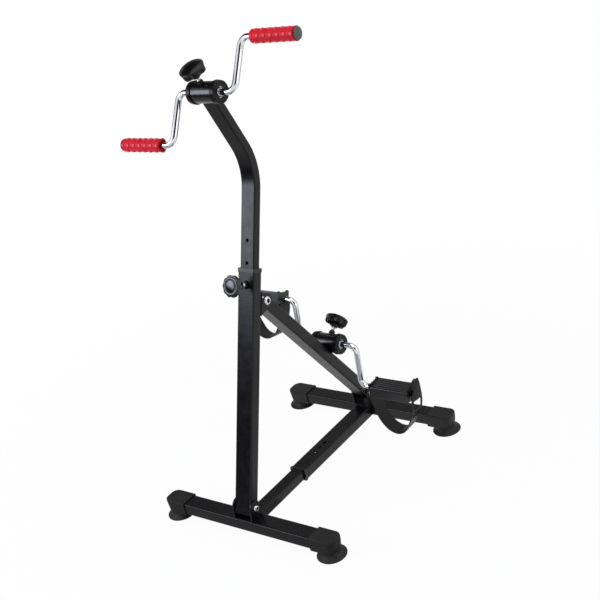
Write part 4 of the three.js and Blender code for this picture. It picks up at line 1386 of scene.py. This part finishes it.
def pedal_piece(name):
    tread = across(tread_outline(), pedal_inner + tread_overlap, pedal_outer - tread_overlap)
    pedal = make(name, tread, pedal_plastic)
    wall = make("pedal_wall", across(wall_outline(), pedal_inner, pedal_inner + pedal_wall), pedal_plastic)
    plate_form = across(rounded(end_plate_outline, plate_corner), pedal_outer - pedal_wall, pedal_outer)
    plate = make("pedal_plate", lean_tip(plate_form), pedal_plastic)
    slots = []
    pockets = []
    for sign in (-1, 1):
        middle = sign * plate_slot_place
        start, end = pedal_outer - plate_slot_depth, pedal_outer + 2 * pedal_overrun
        low, high = plate_slot_low, plate_slot_high
        slots.append(block((start, middle - plate_slot_half, low), (end, middle + plate_slot_half, high)))
        near, far = sorted((sign * pocket_near, sign * pocket_far))
        for start, end in pocket_spans:
            pockets.append(block((start, near, tread_low - pedal_overrun), (end, far, pocket_top)))
    work(plate, make("plate_slots", together(slots), pedal_plastic), "DIFFERENCE")
    work(pedal, wall, "UNION")
    work(pedal, make("pockets", together(pockets), pedal_plastic), "DIFFERENCE")
    work(pedal, plate, "UNION")
    bore_ends = (pedal_inner - pedal_bore_overrun, pedal_outer + pedal_bore_overrun)
    bore = skin([circle(pedal_bore, x, small_steps) for x in bore_ends])
    work(pedal, make("pedal_bore", bore, pedal_plastic, along_x), "DIFFERENCE")
    pedal.data.materials.clear()
    pedal.data.materials.append(pedal_plastic)
    return pedal


def pedal_frame(side):
    spot = joints[f"{side}_pedal_turn"]["pos_m"]
    facing = Matrix.Rotation(0 if side == "right" else math.pi, 4, "Z")
    return Matrix.Translation((0, spot[1], spot[2])) @ Matrix.Rotation(pedal_tilts[side], 4, "X") @ facing


for side, body in pedal_bodies.items():
    pedal = pedal_piece(f"pedal_moulding_{side}")
    pedal.data.transform(pedal_frame(side))
    soft_shading(pedal)
    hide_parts(f"pedal_{side}")
    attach(pedal, body)
    cap_form = skin([circle(radius, x) for x, radius in pedal_cap_profile])
    cap = make(f"pedal_cap_{side}", cap_form, gloss_plastic, pedal_frame(side) @ along_x)
    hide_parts(f"pedal_nut_{side}")
    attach(cap, "leg_crank_unit")

# Foot straps. Each is a smooth band of black rubber that hangs in a loop below its pedal. Its
# outer end is a ladder of two thin rails, which draw together over the tip of the pedal's plate.
strap_tilts = {"right": 0, "left": math.radians(10)}
strap_drops = {"right": 0.1045, "left": 0.097}
strap_half = 0.0185
strap_thickness = 0.0025
strap_gap = 0.0003
strap_edge = 0.0006
strap_edge_share = 0.35
strap_reach = 0.115
strap_inner_end = -0.009
strap_knee = -0.021
strap_route_shares = [
    (0.03, 0.45), (0.13, 0.75), (0.28, 0.94), (0.46, 1.0), (0.64, 0.92), (0.8, 0.67), (0.95, 0.38),
    (1.0, 0.12), (1.0, -0.06),
]
strap_top = 0.0315
strap_steps = 12
strap_rail = 0.0060
strap_rung = 0.0032
strap_ladder_from = -0.0625
strap_rung_pitch = 0.026
strap_tip_place = 0.0155
strap_taper_from = -0.004
strap_ladder_to = -0.014
strap_twist = 0.005
strap_twist_middle = -0.024
strap_twist_reach = 0.045
strap_tip_steps = (0.001, 0.0035)
strap_tip_share = 0.25
strap_rubber = moulded_rubber(
    "strap_rubber", dark=(14, 14, 15), light=(22, 22, 24), dust=(34, 34, 35),
    gloss=0.2, smooth=0.36, rough=0.48,
)


def smooth_line(points, steps):
    ends = [2 * points[0] - points[1]] + points + [2 * points[-1] - points[-2]]
    line = []
    for a, b, c, d in zip(ends, ends[1:], ends[2:], ends[3:]):
        near, middle, far = (math.sqrt((q - p).length) for p, q in ((a, b), (b, c), (c, d)))
        leave = ((b - a) / near - (c - a) / (near + middle) + (c - b) / middle) * middle
        arrive = ((c - b) / middle - (d - b) / (middle + far) + (d - c) / far) * middle
        for i in range(steps):
            t = i / steps
            line.append(b * (2 * t ** 3 - 3 * t ** 2 + 1) + leave * (t ** 3 - 2 * t ** 2 + t)
                        + c * (3 * t ** 2 - 2 * t ** 3) + arrive * (t ** 3 - t ** 2))
    return line + [points[-1]]


def strap_route(drop):
    inner = pedal_inner - strap_thickness / 2 - strap_gap
    outer = pedal_inner + strap_reach
    points = [(inner, strap_inner_end), (inner, strap_knee)]
    points += [(pedal_inner + out * strap_reach, -down * drop) for out, down in strap_route_shares]
    points += [(outer - step, height) for step, height in zip(strap_tip_steps, (pedal_top, strap_top))]
    return smooth_line([Vector(point) for point in points], strap_steps)


def strap_form(drop):
    route = strap_route(drop)
    rail = strap_half - strap_rail
    right_lines = [0.0, rail * 0.5, rail, strap_half - strap_edge, strap_half]
    lines = [-y for y in right_lines[:0:-1]] + right_lines
    edges = {0: strap_edge_share, len(lines) - 1: strap_edge_share}
    lowest = min(range(len(route)), key=lambda i: route[i].y)
    points = []
    travelled = 0.0
    open_rows = set()
    for i, spot in enumerate(route):
        ahead = (route[min(i + 1, len(route) - 1)] - route[max(i - 1, 0)]).normalized()
        side = Vector((ahead.y, -ahead.x))
        if i > lowest and strap_ladder_from < spot.y < strap_ladder_to:
            travelled += (spot - route[i - 1]).length
            if travelled % strap_rung_pitch > strap_rung and i < len(route) - 3:
                open_rows.add(i)
        share = min(1.0, max(0.0, (spot.y - strap_taper_from) / (strap_top - strap_taper_from)))
        share = share * share * (3 - 2 * share)
        near = max(0.0, 1 - ((spot.y - strap_twist_middle) / strap_twist_reach) ** 2) if i > lowest else 0
        for face in (-1, 1):
            for j, y in enumerate(lines):
                half = face * strap_thickness / 2 * edges.get(j, 1)
                out = spot.x + side.x * half + strap_twist * near ** 2 * min(0.0, y / strap_half)
                place = y * (1 - share) + (strap_tip_place + y * strap_tip_share) * share
                points.append((out, place, spot.y + side.y * half))
    count = len(lines)

    def index(i, face, j):
        return i * 2 * count + face * count + j

    def solid(i, j):
        if not (0 <= i < len(route) - 1 and 0 <= j < count - 1):
            return False
        return not (i in open_rows and 2 <= j < count - 3)

    faces = []
    for i in range(len(route) - 1):
        for j in range(count - 1):
            if not solid(i, j):
                continue
            back = [index(i, 0, j), index(i, 0, j + 1), index(i + 1, 0, j + 1), index(i + 1, 0, j)]
            front = [index(i, 1, j), index(i, 1, j + 1), index(i + 1, 1, j + 1), index(i + 1, 1, j)]
            faces.append((front[0], front[3], front[2], front[1]))
            faces.append(tuple(back))
            if not solid(i - 1, j):
                faces.append((back[0], front[0], front[1], back[1]))
            if not solid(i + 1, j):
                faces.append((back[3], back[2], front[2], front[3]))
            if not solid(i, j - 1):
                faces.append((back[0], back[3], front[3], front[0]))
            if not solid(i, j + 1):
                faces.append((back[1], front[1], front[2], back[2]))
    used = sorted({corner for face in faces for corner in face})
    place = {corner: k for k, corner in enumerate(used)}
    return [points[corner] for corner in used], [tuple(place[corner] for corner in face) for face in faces]


for side, body in pedal_bodies.items():
    place = pedal_frame(side) @ Matrix.Rotation(-strap_tilts[side], 4, "X")
    strap = make(f"foot_strap_{side}", strap_form(strap_drops[side]), strap_rubber, place)
    soft_shading(strap)
    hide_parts(f"strap_{side}")
    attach(strap, body)
